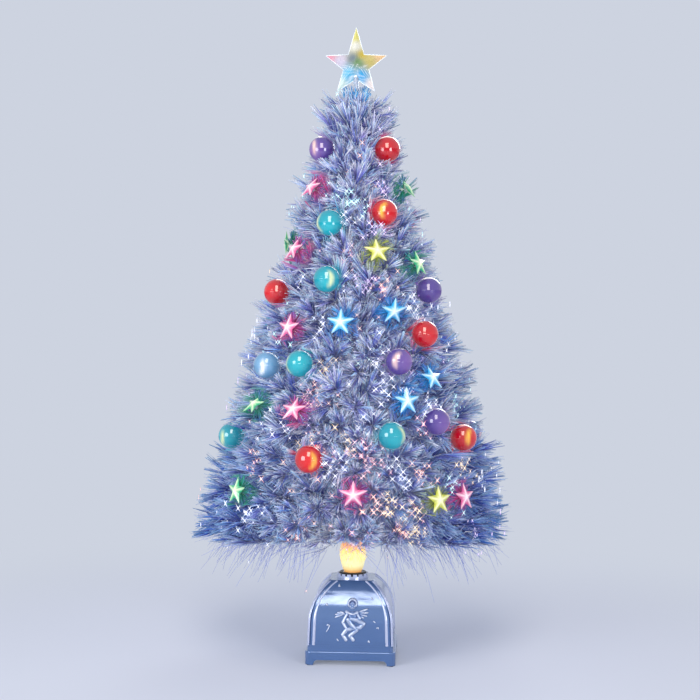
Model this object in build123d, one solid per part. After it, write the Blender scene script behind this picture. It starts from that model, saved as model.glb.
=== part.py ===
from build123d import *
import math
import os

# Fibre optic christmas tree, 120 cm size. Millimetres, +Z up, the front faces -Y.
# The origin is on the floor, under the mast.

# Outline of the whole tree
tree_height = 1200.0
skirt_radius = 296.0            # widest level of the foliage
skirt_height = 286.0
peak_radius = 54.0              # highest tier of branches
peak_drop = 128.0               # below the top of the star
peak_height = tree_height - peak_drop

# Plinth: the lower casing, with a foot in each corner and a low arch in each side
plinth_width = 168.0
plinth_height = 26.0
plinth_wall = 3.0
plinth_corner_radius = 12.0
plinth_edge_radius = 1.5
foot_width = 16.0
arch_height = 10.5
arch_radius = 8.0
floor_thickness = 3.0
ledge_thickness = 3.0           # inward ledge that the housing stands on
ledge_width = 7.0
pad_radius = 5.0                # rubber feet
pad_thickness = 4.0
pad_stand = 1.5                 # how far they stand out under the plinth
vent_length = 30.0
vent_width = 3.0
vent_pitch = 8.0
vent_count = 7
vent_place = 42.0               # two rows of vents, left and right of the lamp

# Housing: a four-sided dome with an arched panel on each side
housing_base_half = 79.5
housing_shoulder_half = 77.6
housing_shoulder_height = 80.0
housing_height = 151.0
housing_wall = 2.5
shoulder_radius = 95.0
shoulder_angle = 2.7            # degrees that the wall leans in where the shoulder starts
ridge_trim = 3.0                # how far the ridges are cut back along a diagonal
rim_groove_height = 34.0
rim_groove_width = 1.6
rim_groove_depth = 0.9
line_inset = 4.0                # raised line that runs round each panel
line_width = 1.5
panel_inset = 9.0
panel_depth = 0.9
panel_crown_drop = 1.6          # what the panels and their lines leave under the dome's flat top
rear_pad_width = 76.0
rear_pad_bottom = 40.0
rear_pad_top = 70.0
rear_pad_stand = 0.7

# Screws that hold the plinth to the housing
boss_radius = 4.5
boss_top = 52.0
boss_place = 61.0
screw_shank_radius = 1.5
screw_head_radius = 3.2
screw_head_height = 2.4
screw_length = 24.0
screw_head_sink = 1.6
screw_slot = 0.9
pilot_play = 0.05

# Socket collar in the crown, and the ferrule that plugs into it
collar_radius = 29.5
collar_flange = 2.0
collar_ring_wall = 3.2
collar_ring_height = 6.0
collar_sleeve_wall = 1.4
collar_sleeve_bottom = 118.0
collar_windows = 16
collar_window_width = 4.0
collar_window_depth = 3.6
ferrule_radius = 22.0
ferrule_play = 0.3
ferrule_bottom = 84.0
ferrule_step = 116.0
ferrule_nose_radius = 16.5
ferrule_wall = 3.0
ferrule_rim_radius = 25.6
ferrule_rim_height = 8.0
fibre_end_radius = 13.5

# Lamp, on the tree's axis under the fibre end
lamp_bracket_thickness = 1.6
lamp_bracket_width = 26.0
lamp_bracket_foot = 18.0
lamp_holder_radius = 9.0
lamp_holder_height = 14.0
lamp_holder_bottom = 22.0
reflector_mouth_radius = 18.0
reflector_neck_radius = 6.0
reflector_height = 22.0
reflector_wall = 1.2
reflector_bands = 5
bulb_radius = 4.5
bulb_length = 16.0
lamp_pin_radius = 0.7
lamp_pin_spacing = 5.3

# Colour wheel between the lamp and the fibre end, beside the axis on a diagonal
wheel_offset = 23.0
wheel_radius = 47.0
wheel_height = 74.0
wheel_thickness = 2.4
wheel_rim_width = 3.0
wheel_hub_radius = 7.0
wheel_hub_gap = 0.4             # under the hub, over the motor's boss
wheel_spokes = 4
wheel_spoke_width = 3.6
filter_thickness = 0.8
filter_seat = 1.0               # how far a filter reaches into its groove
shaft_radius = 1.5
shaft_play = 0.05
motor_radius = 11.5
motor_height = 24.0
motor_top = 66.0
motor_boss_radius = 4.0
motor_boss_height = 3.0
motor_plate_width = 34.0
motor_plate_thickness = 1.6
motor_leg_width = 10.0
small_screw_head_radius = 2.4
small_screw_head_height = 1.5

# Switch and low-voltage inlet, in the rear pad
switch_place = -19.0
switch_height = 55.0
bezel_width = 24.0
bezel_tall = 16.0
bezel_flange = 1.2
bezel_body_width = 20.0
bezel_body_tall = 12.0
bezel_depth = 16.0
rocker_width = 16.6
rocker_tall = 8.8
rocker_play = 0.3
rocker_depth = 9.0
rocker_pivot_depth = 4.5
rocker_stand = 1.6
rocker_dish_radius = 22.0
rocker_pin_radius = 1.0
rocker_pin_play = 0.05
rocker_pin_reach = 1.2
rocker_angle = 8.0              # to each side of its middle; it rests on the lit side
rocker_taper = 1.2              # each end draws in towards the face
inlet_place = 19.0
inlet_radius = 5.6
inlet_flange_radius = 7.4
inlet_flange = 1.4
inlet_bore_radius = 2.8
inlet_bore_depth = 9.5
inlet_pin_radius = 1.0
inlet_depth = 14.0
panel_play = 0.1

# Mast, fibre bundle and tier collars
mast_radius = 6.0
mast_wall = 1.0
mast_bottom = 124.0
mast_drop = 136.0
mast_top = tree_height - mast_drop
tip_radius = 3.0                # steel tip that carries the star
tip_drop = 96.0
tip_top = tree_height - tip_drop
tip_anchor = 20.0
bundle_neck_radius = 16.0
bundle_belly_radius = 23.0
bundle_belly_height = 187.0
bundle_top_radius = 17.0
bundle_top = 210.0
bundle_bands = 8
bundle_strands = 14
bundle_strand_length = 11.0
tier_collar_radius = 11.0
tier_collar_height = 12.0

# Branch tiers: each branch is a flat brush of needles on a wire, with fibre ends at its tip
tier_count = 14
lowest_tip_height = 262.0
lowest_root_height = 224.0
highest_root_drop = 204.0
highest_root_height = tree_height - highest_root_drop
branch_pitch = 150.0            # between branch tips, round a tier
fewest_branches = 6
branch_fill_share = 0.88        # of its own sector that a branch fills
branch_height_share = 0.46      # of the spacing between tiers
branch_root_half = 2.2
branch_root_gap = 0.15
branch_shoulder_share = 0.5
branch_steep_share = 0.42
branch_tip_width_share = 0.9
branch_tip_height_share = 0.7
shortest_branch = 34.0
branch_bevel_share = 0.45        # of its half width that each edge is bevelled by
strand_length = 38.0            # at the skirt; shorter on the narrow tiers
strand_least_share = 0.42
strand_size = 2.2
strand_tip_share = 0.45
strand_spread = 5.0
strand_anchor = 5.0
strand_place_shares = (-0.82, -0.3, 0.3, 0.82)
droop_place_shares = (0.5, 0.64, 0.78, 0.9)
droop_length_shares = (0.75, 0.95, 1.15, 1.0)
droop_length = 62.0
droop_outward = 22.0

# Balls and stars
ball_radius = 24.5
ball_bands = 8
ball_sink = 22.0                # ball centre inside the foliage outline
star_radius = 26.0
star_inner_share = 0.45
star_half_thickness = 6.0
star_sink = 9.0
cap_radius = 4.0
cap_height = 5.0
stem_size = 3.0
stem_anchor = 16.0
stem_side_share = 0.72
stem_rise_share = 0.7
ornament_clearance = 3.0
strand_clearance = 8.0
strand_test_shares = (0, 0.25, 0.5, 0.75, 1)

# Places as (degrees round the tree, share of the tree's height); 0 faces the front, 90 is to the right
tree_turn = 3.0                 # degrees that the dressed tree stands turned in its socket
red_ball_shares = (
    (66, 0.802), (31, 0.698), (-82, 0.577), (48, 0.512), (-19, 0.330), (60, 0.355), (128, 0.470), (-146, 0.345),
)
teal_ball_shares = (
    (-25, 0.681), (-21, 0.594), (-31, 0.467), (-84, 0.350), (17, 0.364), (158, 0.605), (-112, 0.522),
)
violet_ball_shares = ((-80, 0.803), (70, 0.580), (25, 0.471), (42, 0.382), (-160, 0.705), (104, 0.352))
clear_ball_shares = ((-57, 0.463), (180, 0.425))
pink_star_shares = (
    (-54, 0.739), (-55, 0.642), (-41, 0.521), (-28, 0.401), (0, 0.283), (46, 0.273), (115, 0.690), (-128, 0.440),
)
green_star_shares = ((80, 0.742), (54, 0.620), (-53, 0.405), (-50, 0.278), (150, 0.380), (-100, 0.655))
yellow_star_shares = ((17, 0.637), (33, 0.272), (-150, 0.580), (150, 0.800))
cyan_star_shares = ((-8, 0.529), (24, 0.546), (42, 0.447), (25, 0.414), (-170, 0.290), (112, 0.560), (-125, 0.800))

# Star on the mast's tip, moulded as two clear halves round a socket
topper_centre_drop = 74.0
topper_centre_height = tree_height - topper_centre_drop
topper_radius = 62.0
topper_inner_radius = 26.0
topper_depth = 17.0
topper_wall = 2.0
socket_radius = 5.2
socket_play = 0.15
socket_bottom_drop = 128.0
socket_bottom = tree_height - socket_bottom_drop
socket_top_drop = 88.0
socket_top = tree_height - socket_top_drop
glow_rod_radius = 3.0
glow_rod_length = 30.0

# One overrun for all cuts, and a play that keeps joined plastic apart
cut_over = 5.0
skin_gap = 0.05
end_round_share = 0.8           # rounding of a rod's end, of its radius


def polygon(points):
    """Flat face inside a closed ring of points."""
    return make_face(Polyline(*points, close=True))


def faceted(rings):
    """Closed solid ruled between rings of corners, from one end to the other."""
    return Solid.make_loft([Wire.make_polygon(ring, close=True) for ring in rings], True)


def upright(radius, bottom, top):
    """Round bar about the Z axis between two heights."""
    return Pos(0, 0, bottom) * Cylinder(radius, top - bottom, align=(Align.CENTER, Align.CENTER, Align.MIN))


def pipe(outer, inner, bottom, top):
    """Round tube about the Z axis between two heights."""
    return upright(outer, bottom, top) - upright(inner, bottom - cut_over, top + cut_over)


def block(width, depth, bottom, top):
    """Upright box centred on the Z axis."""
    return Pos(0, 0, bottom) * Box(width, depth, top - bottom, align=(Align.CENTER, Align.CENTER, Align.MIN))


def corners(distance):
    """The four places at a distance from both middle planes."""
    return [Pos(x, y) for x in (-distance, distance) for y in (-distance, distance)]


def save(name, solids):
    """Writes one node; a node may hold several separate solids."""
    shape = solids[0] if len(solids) == 1 else Compound(children=list(solids))
    shape.label = name
    export_step(shape, "parts/" + name + ".step")


# Plinth, rubber feet


def make_plinth():
    """Square tray with a floor, a ledge for the housing, four corner feet and vents."""
    body = block(plinth_width, plinth_width, pad_stand, plinth_height)
    body = fillet(body.edges().filter_by(Axis.Z), plinth_corner_radius)
    body = fillet(body.faces().sort_by(Axis.Z)[-1].edges(), plinth_edge_radius)
    inner_half = plinth_width / 2 - plinth_wall
    floor_top = arch_height + floor_thickness
    cavity = block(2 * inner_half, 2 * inner_half, floor_top, plinth_height - ledge_thickness)
    cavity = fillet(cavity.edges().filter_by(Axis.Z), plinth_corner_radius - plinth_wall)
    mouth_half = inner_half - ledge_width
    mouth = block(2 * mouth_half, 2 * mouth_half, floor_top, plinth_height + cut_over)
    arch_width = plinth_width - 2 * foot_width
    arch = block(arch_width, plinth_width + 2 * cut_over, -arch_height, arch_height)
    arch = fillet(arch.edges().filter_by(Axis.Y).group_by(Axis.Z)[-1], arch_radius)
    body = body - cavity - mouth - arch - Rot(0, 0, 90) * arch
    vent = block(vent_length, vent_width, 0, floor_top + cut_over)
    vent = fillet(vent.edges().filter_by(Axis.Z), vent_width / 2 - skin_gap)
    first = -vent_pitch * (vent_count - 1) / 2
    rows = [Pos(x, first + vent_pitch * n) for x in (-vent_place, vent_place) for n in range(vent_count)]
    body -= [place * vent for place in rows]
    pad_hole = upright(pad_radius, 0, pad_thickness)
    body -= [place * pad_hole for place in corners(plinth_width / 2 - foot_width / 2)]
    shank = upright(screw_shank_radius + pilot_play, 0, floor_top + cut_over)
    sink = upright(screw_head_radius + pilot_play, 0, arch_height + screw_head_sink)
    return body - [place * shank for place in corners(boss_place)] - [place * sink for place in corners(boss_place)]


def make_feet():
    """Rubber pads pressed into the corner feet."""
    pad = upright(pad_radius, 0, pad_thickness)
    pad = chamfer(pad.edges().group_by(Axis.Z)[0], pad_stand / 3)
    return [place * pad for place in corners(plinth_width / 2 - foot_width / 2)]


def make_housing_screws():
    """Pan-head screws, up through the plinth's floor into the housing's bosses."""
    seat = arch_height + screw_head_sink
    head = upright(screw_head_radius, seat - screw_head_height, seat)
    head = chamfer(head.edges().group_by(Axis.Z)[0], screw_head_height / 4)
    slot = block(2 * screw_head_radius, screw_slot, 0, seat - screw_head_height + screw_slot)
    screw = head + upright(screw_shank_radius, seat, seat + screw_length) - slot
    return [place * screw for place in corners(boss_place)]


# Housing


def housing_profile(inset, crown_drop, stretch=1.0, trim=0.0):
    """Arch outline of the dome in the XZ plane, drawn in by an inset and stretched sideways."""
    lean = math.radians(shoulder_angle)
    radius = shoulder_radius - inset
    centre_x = housing_shoulder_half - shoulder_radius * math.cos(lean)
    centre_z = housing_shoulder_height - shoulder_radius * math.sin(lean)
    crown = housing_height - crown_drop
    end = math.asin((crown - centre_z) / radius)
    shoulder = EllipticalCenterArc(
        (stretch * centre_x - trim, centre_z), stretch * radius, radius, shoulder_angle,
        arc_size=math.degrees(end) - shoulder_angle,
    )
    base = (stretch * (housing_base_half - inset / math.cos(lean)) - trim, plinth_height)
    half = [
        Line(base, shoulder @ 0),
        shoulder,
        Line(shoulder @ 1, (0, crown)),
        Line((0, crown), (0, plinth_height)),
        Line((0, plinth_height), base),
    ]
    face = Plane.XZ * make_face(half)
    return face + mirror(face, Plane.YZ)


def vault(inset):
    """Cloister vault: arches run both ways meet in four ridges, which two diagonal arches cut back."""
    run = extrude(housing_profile(inset, inset), plinth_width, both=True)
    diagonal = extrude(housing_profile(inset, inset, math.sqrt(2), ridge_trim), plinth_width, both=True)
    return run & Rot(0, 0, 90) * run & Rot(0, 0, 45) * diagonal & Rot(0, 0, -45) * diagonal


def panel_prism(inset):
    """The arch outline of a panel, run through front to back, with sides that rise to the crown."""
    prism = extrude(housing_profile(inset, panel_crown_drop), plinth_width, both=True)
    lift = rim_groove_height + inset
    return prism & block(2 * plinth_width, 2 * plinth_width, lift, housing_height)


def make_housing():
    """Hollow dome with framed arch panels, a rim groove, a rear pad and four screw bosses."""
    pad_outer = housing_base_half + rear_pad_stand
    pad = Pos(0, pad_outer / 2) * block(rear_pad_width, pad_outer, rear_pad_bottom, rear_pad_top)
    pad = fillet(pad.edges().filter_by(Axis.Y), plinth_edge_radius)
    body = vault(0) + pad - vault(housing_wall)
    skin = vault(panel_depth)
    line = panel_prism(line_inset) - panel_prism(line_inset + line_width)
    rebate = line + panel_prism(panel_inset)
    keep = Pos(0, plinth_width) * block(rear_pad_width, 2 * plinth_width, rear_pad_bottom, rear_pad_top)
    rebate_sides = (Rot(0, 0, 90) * rebate) - skin
    rebate_front = rebate - skin - keep
    groove = block(2 * plinth_width, 2 * plinth_width, rim_groove_height, rim_groove_height + rim_groove_width)
    groove -= vault(rim_groove_depth)
    body = body - rebate_front - rebate_sides - groove
    boss = upright(boss_radius, plinth_height, boss_top)
    web_reach = housing_base_half - boss_place
    web = Pos(boss_place + web_reach / 2, boss_place) * block(web_reach, housing_wall, plinth_height, boss_top)
    web = web & vault(housing_wall / 2)
    pilot = upright(screw_shank_radius + pilot_play, 0, arch_height + screw_head_sink + screw_length + skin_gap)
    body += [place * boss for place in corners(boss_place)]
    body += [web, mirror(web, Plane.YZ), mirror(web, Plane.XZ), mirror(mirror(web, Plane.XZ), Plane.YZ)]
    body -= [place * pilot for place in corners(boss_place)]
    body -= upright(collar_hole_radius(), collar_sleeve_bottom, housing_height + cut_over)
    bezel_hole = rear_box(bezel_body_width + 2 * panel_play, bezel_body_tall + 2 * panel_play, switch_place)
    inlet_hole = rear_rod(inlet_radius + panel_play, -plinth_width / 2, cut_over)
    return body - bezel_hole - inlet_hole


def collar_hole_radius():
    """Hole in the crown that the collar's sleeve fills."""
    return ferrule_radius + ferrule_play + collar_sleeve_wall


def rear_face():
    """Distance of the rear pad's face behind the tree's axis."""
    return housing_base_half + rear_pad_stand


def rear_box(width, tall, place):
    """Box that runs through the rear wall at a place along it."""
    middle = rear_face() - housing_wall
    return Pos(place, middle, switch_height) * Box(width, plinth_width / 4, tall)


def rear_rod(radius, inward, outward):
    """Rod square to the rear face at the inlet, from an inward to an outward distance."""
    rod = Cylinder(radius, outward - inward, align=(Align.CENTER, Align.CENTER, Align.MIN))
    return Pos(inlet_place, rear_face() + inward, switch_height) * (Rot(-90, 0, 0) * rod)


# Socket collar and the ferrule that plugs into it


def make_collar():
    """Flange on the crown with a windowed ring, and a sleeve that guides the ferrule."""
    flange_top = housing_height + collar_flange
    flange = upright(collar_radius, housing_height, flange_top)
    ring = pipe(collar_radius, collar_radius - collar_ring_wall, flange_top, flange_top + collar_ring_height)
    sleeve = upright(collar_hole_radius(), collar_sleeve_bottom, housing_height)
    bore = upright(ferrule_radius + ferrule_play, collar_sleeve_bottom - cut_over, flange_top + cut_over)
    window_low = flange_top + collar_ring_height - collar_window_depth
    window = Pos(collar_radius) * block(
        2 * collar_ring_wall + cut_over, collar_window_width, window_low, window_low + collar_ring_height
    )
    turn = 360 / collar_windows
    return flange + ring + sleeve - bore - [Rot(0, 0, turn * n) * window for n in range(collar_windows)]


def rim_bottom():
    """Height at which the ferrule's rim stands on the collar."""
    return housing_height + collar_flange


def make_ferrule():
    """Black stepped tube that binds the fibres and the mast's foot."""
    rim_top = rim_bottom() + ferrule_rim_height
    rim = upright(ferrule_rim_radius, rim_bottom(), rim_top)
    rim = chamfer(rim.edges().group_by(Axis.Z)[-1], ferrule_wall / 3)
    body = rim + upright(ferrule_radius, ferrule_step, rim_bottom())
    body += upright(ferrule_nose_radius, ferrule_bottom, ferrule_step)
    body -= upright(fibre_end_radius, ferrule_bottom, ferrule_step + ferrule_wall)
    return body - upright(ferrule_radius - ferrule_wall, ferrule_step + ferrule_wall, rim_top)


def make_light_guide():
    """Fibres packed and polished in the ferrule, with the mast's foot bedded in them."""
    wide_bottom = ferrule_step + ferrule_wall
    rim_top = rim_bottom() + ferrule_rim_height
    guide = upright(fibre_end_radius, ferrule_bottom, wide_bottom)
    guide += upright(ferrule_radius - ferrule_wall, wide_bottom, rim_top)
    return guide - upright(mast_radius, mast_bottom, rim_top)


# Lamp


def plinth_floor():
    """Height of the plinth's inner floor."""
    return arch_height + floor_thickness


def make_lamp_bracket():
    """Bent sheet stand: a foot on the floor, a riser behind the lamp and a shelf under the holder."""
    thick = lamp_bracket_thickness
    shelf_low = lamp_holder_bottom - thick
    reach = lamp_holder_radius + thick
    riser = Pos(0, -reach) * block(lamp_bracket_width, thick, plinth_floor(), lamp_holder_bottom)
    foot = Pos(0, -reach - lamp_bracket_foot / 2) * block(
        lamp_bracket_width, lamp_bracket_foot, plinth_floor(), plinth_floor() + thick
    )
    shelf = Pos(0, (lamp_holder_radius - reach) / 2) * block(
        lamp_bracket_width, lamp_holder_radius + reach, shelf_low, lamp_holder_bottom
    )
    return riser + foot + shelf


def make_lamp_screws():
    """Two screws through the bracket's foot, heads on the foot."""
    foot_top = plinth_floor() + lamp_bracket_thickness
    place_y = -lamp_holder_radius - lamp_bracket_thickness - lamp_bracket_foot / 2
    head = upright(small_screw_head_radius, foot_top, foot_top + small_screw_head_height)
    head = chamfer(head.edges().group_by(Axis.Z)[-1], small_screw_head_height / 3)
    return [Pos(x, place_y) * head for x in (-lamp_bracket_width / 4, lamp_bracket_width / 4)]


def make_lamp_holder():
    """Ceramic holder with two pin holes."""
    top = lamp_holder_bottom + lamp_holder_height
    body = upright(lamp_holder_radius, lamp_holder_bottom, top)
    body = chamfer(body.edges().group_by(Axis.Z)[-1], lamp_bracket_thickness / 2)
    pin_hole = upright(lamp_pin_radius, top - lamp_holder_height / 2, top + cut_over)
    return body - [Pos(x) * pin_hole for x in (-lamp_pin_spacing / 2, lamp_pin_spacing / 2)]


def make_lamp():
    """Halogen capsule on two pins, in the reflector's neck."""
    seat = lamp_holder_bottom + lamp_holder_height
    body = upright(bulb_radius, seat, seat + bulb_length)
    body = fillet(body.edges().group_by(Axis.Z)[-1], bulb_radius * end_round_share)
    pin = upright(lamp_pin_radius, seat - lamp_holder_height / 2, seat)
    return body + [Pos(x) * pin for x in (-lamp_pin_spacing / 2, lamp_pin_spacing / 2)]


def make_reflector():
    """Glass bowl that stands on the holder and throws the light up, in conical bands."""
    seat = lamp_holder_bottom + lamp_holder_height
    neck_top = seat + reflector_neck_radius
    rise = reflector_height - reflector_neck_radius
    outer = [(reflector_neck_radius, seat)]
    inner = [(reflector_neck_radius - reflector_wall, seat)]
    for n in range(reflector_bands + 1):
        share = n / reflector_bands
        radius = reflector_neck_radius + (reflector_mouth_radius - reflector_neck_radius) * math.sqrt(share)
        outer.append((radius, neck_top + rise * share))
        inner.append((radius - reflector_wall, neck_top + rise * share))
    return revolve(Plane.XZ * polygon(outer + inner[::-1]), Axis.Z)


# Colour wheel and its motor


def wheel_place():
    """Axis of the wheel and the motor, on a diagonal of the base."""
    return Pos(wheel_offset, wheel_offset)


def make_wheel_frame():
    """Hub, rim and spokes; the rim, the hub and the spokes are grooved for the filters."""
    top = wheel_height + wheel_thickness
    rim = pipe(wheel_radius, wheel_radius - wheel_rim_width, wheel_height, top)
    hub = upright(wheel_hub_radius, motor_top + motor_boss_height + wheel_hub_gap, top)
    spoke = Pos(wheel_radius / 2) * block(
        wheel_radius - wheel_rim_width, wheel_spoke_width, wheel_height, top
    )
    turn = 360 / wheel_spokes
    frame = rim + hub + [Rot(0, 0, turn * n) * spoke for n in range(wheel_spokes)]
    frame -= make_filter_disc()
    frame -= upright(shaft_radius, 0, top + cut_over)
    return wheel_place() * frame


def make_filter_disc():
    """The four filters before they are parted by the spokes."""
    low = wheel_height + (wheel_thickness - filter_thickness) / 2
    outer = wheel_radius - wheel_rim_width + filter_seat
    inner = wheel_hub_radius - filter_seat
    disc = pipe(outer, inner, low, low + filter_thickness)
    gap = block(2 * wheel_radius, wheel_spoke_width - 2 * filter_seat, wheel_height, wheel_height + wheel_thickness)
    return disc - gap - Rot(0, 0, 90) * gap


def make_filters():
    """Four coloured sectors in the frame's grooves."""
    return [wheel_place() * s for s in make_filter_disc().solids()]


def make_motor_shaft():
    """Steel shaft, pressed in the hub and turning in the motor's boss."""
    return wheel_place() * upright(shaft_radius, motor_top - motor_height / 2, wheel_height + wheel_thickness)


def make_motor():
    """Round geared motor with a bearing boss."""
    body = upright(motor_radius, motor_top - motor_height, motor_top)
    body = fillet(body.edges().group_by(Axis.Z)[0], motor_boss_height / 2)
    body += upright(motor_boss_radius, motor_top, motor_top + motor_boss_height)
    return wheel_place() * (body - upright(shaft_radius + shaft_play, motor_top - motor_height / 2 - skin_gap,
                                           motor_top + cut_over))


def make_motor_bracket():
    """Plate under the motor's shoulder with two legs down to the plinth's floor."""
    low = motor_top - motor_height / 3
    plate = block(motor_plate_width, motor_leg_width, low, low + motor_plate_thickness)
    leg = Pos(motor_plate_width / 2 - motor_plate_thickness / 2) * block(
        motor_plate_thickness, motor_leg_width, plinth_floor(), low + motor_plate_thickness
    )
    foot = Pos(motor_plate_width / 2 + motor_leg_width / 2 - motor_plate_thickness) * block(
        motor_leg_width, motor_leg_width, plinth_floor(), plinth_floor() + motor_plate_thickness
    )
    side = leg + foot
    bracket = plate + side + mirror(side, Plane.YZ) - upright(motor_radius, low - cut_over, motor_top)
    return wheel_place() * (Rot(0, 0, -45) * bracket)


def make_motor_screws():
    """Screw heads on the feet of the motor's bracket."""
    low = plinth_floor() + motor_plate_thickness
    reach = motor_plate_width / 2 + motor_leg_width / 2 - motor_plate_thickness
    head = upright(small_screw_head_radius, low, low + small_screw_head_height)
    head = chamfer(head.edges().group_by(Axis.Z)[-1], small_screw_head_height / 3)
    return [wheel_place() * (Rot(0, 0, -45) * (Pos(x) * head)) for x in (-reach, reach)]


# Switch and inlet in the rear wall


def make_bezel():
    """Switch body with a flange on the rear pad and a well for the rocker."""
    face = rear_face()
    flange = Pos(switch_place, face + bezel_flange / 2, switch_height) * Box(bezel_width, bezel_flange, bezel_tall)
    flange = fillet(flange.edges().filter_by(Axis.Y), bezel_flange)
    body = Pos(switch_place, face - bezel_depth / 2, switch_height) * Box(bezel_body_width, bezel_depth, bezel_body_tall)
    well_width = rocker_width + 2 * rocker_play
    well_tall = rocker_tall + 2 * rocker_play
    well_depth = rocker_depth + 2 * rocker_stand
    well = Pos(switch_place, face + bezel_flange + cut_over - (well_depth + cut_over) / 2, switch_height) * Box(
        well_width, well_depth + cut_over, well_tall
    )
    pin = Pos(switch_place, face - rocker_pivot_depth, switch_height) * Cylinder(
        rocker_pin_radius + rocker_pin_play, well_tall + 2 * rocker_pin_reach
    )
    return flange + body - well - pin


def make_rocker():
    """Rocker with a dished face, on pivot pins above and below, pressed in on its lit side."""
    low = rocker_pivot_depth + rocker_stand - rocker_depth
    high = rocker_pivot_depth + bezel_flange + rocker_stand
    half = rocker_width / 2
    plan = [
        (rocker_stand - half, low), (half - rocker_stand, low), (half - rocker_taper, high), (rocker_taper - half, high),
    ]
    body = extrude(polygon(plan), rocker_tall / 2, both=True)
    dish_centre = high - rocker_stand + rocker_dish_radius
    body -= Pos(0, dish_centre) * Cylinder(rocker_dish_radius, rocker_tall + cut_over)
    body += Cylinder(rocker_pin_radius, rocker_tall + 2 * rocker_pin_reach)
    return Pos(switch_place, rear_face() - rocker_pivot_depth, switch_height) * (Rot(0, 0, -rocker_angle) * body)


def make_inlet():
    """Round low-voltage inlet with its centre pin."""
    body = rear_rod(inlet_radius, -inlet_depth, 0) + rear_rod(inlet_flange_radius, 0, inlet_flange)
    body -= rear_rod(inlet_bore_radius, inlet_flange - inlet_bore_depth, inlet_flange + cut_over)
    return body + rear_rod(inlet_pin_radius, -inlet_depth / 2 - inlet_flange, 0)


# Mast and fibre bundle


def make_mast():
    """Steel tube that carries every tier, with a thinner tip for the star."""
    tube = pipe(mast_radius, mast_radius - mast_wall, mast_bottom, mast_top)
    tip = upright(tip_radius, mast_top - tip_anchor, tip_top)
    tip = chamfer(tip.edges().group_by(Axis.Z)[-1], tip_radius / 3)
    return tube + tip + upright(mast_radius - mast_wall, mast_top - tip_anchor, mast_top)


def make_bundle():
    """Fibres that bulge out of the ferrule round the mast, with loose ends round the top."""
    bottom = rim_bottom() + ferrule_rim_height
    swell = ThreePointArc(
        (bundle_neck_radius, bottom), (bundle_belly_radius, bundle_belly_height), (bundle_top_radius, bundle_top)
    )
    bands = [swell @ (n / bundle_bands) for n in range(bundle_bands + 1)]
    outline = [(mast_radius, bottom)] + [(point.X, point.Y) for point in bands] + [(mast_radius, bundle_top)]
    body = revolve(Plane.XZ * polygon(outline), Axis.Z)
    place = (mast_radius + bundle_top_radius) / 2
    strands = []
    for n in range(bundle_strands):
        angle = 360 * n / bundle_strands
        start = round_point(place, angle, bundle_top - strand_anchor)
        end = round_point(place + bundle_strand_length / 2, angle, bundle_top + bundle_strand_length)
        strands.append(strand(start, end))
    return body.fuse(*strands)


# Branch tiers


def round_point(radius, degrees, height):
    """Point round the tree: 0 degrees faces the front, 90 is to the right."""
    angle = math.radians(degrees)
    return Vector(radius * math.sin(angle), -radius * math.cos(angle), height)


def outline_radius(height):
    """Radius of the foliage outline, straight from the skirt to the peak."""
    share = (max(height, skirt_height) - skirt_height) / (peak_height - skirt_height)
    return skirt_radius + (peak_radius - skirt_radius) * share


def strand(start, end):
    """Three-sided fibre end that thins towards its tip."""
    along = (end - start).normalized()
    side = along.cross(Vector(0, 0, 1))
    side = side.normalized() if side.length > strand_tip_share * strand_tip_share else Vector(1, 0, 0)
    up = side.cross(along)
    rings = []
    for centre, size in ((start, strand_size), (end, strand_size * strand_tip_share)):
        reach = size / math.sqrt(3)
        turns = [2 * math.pi * n / 3 for n in range(3)]
        rings.append([centre + side * (reach * math.cos(t)) + up * (reach * math.sin(t)) for t in turns])
    return faceted(rings)


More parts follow.
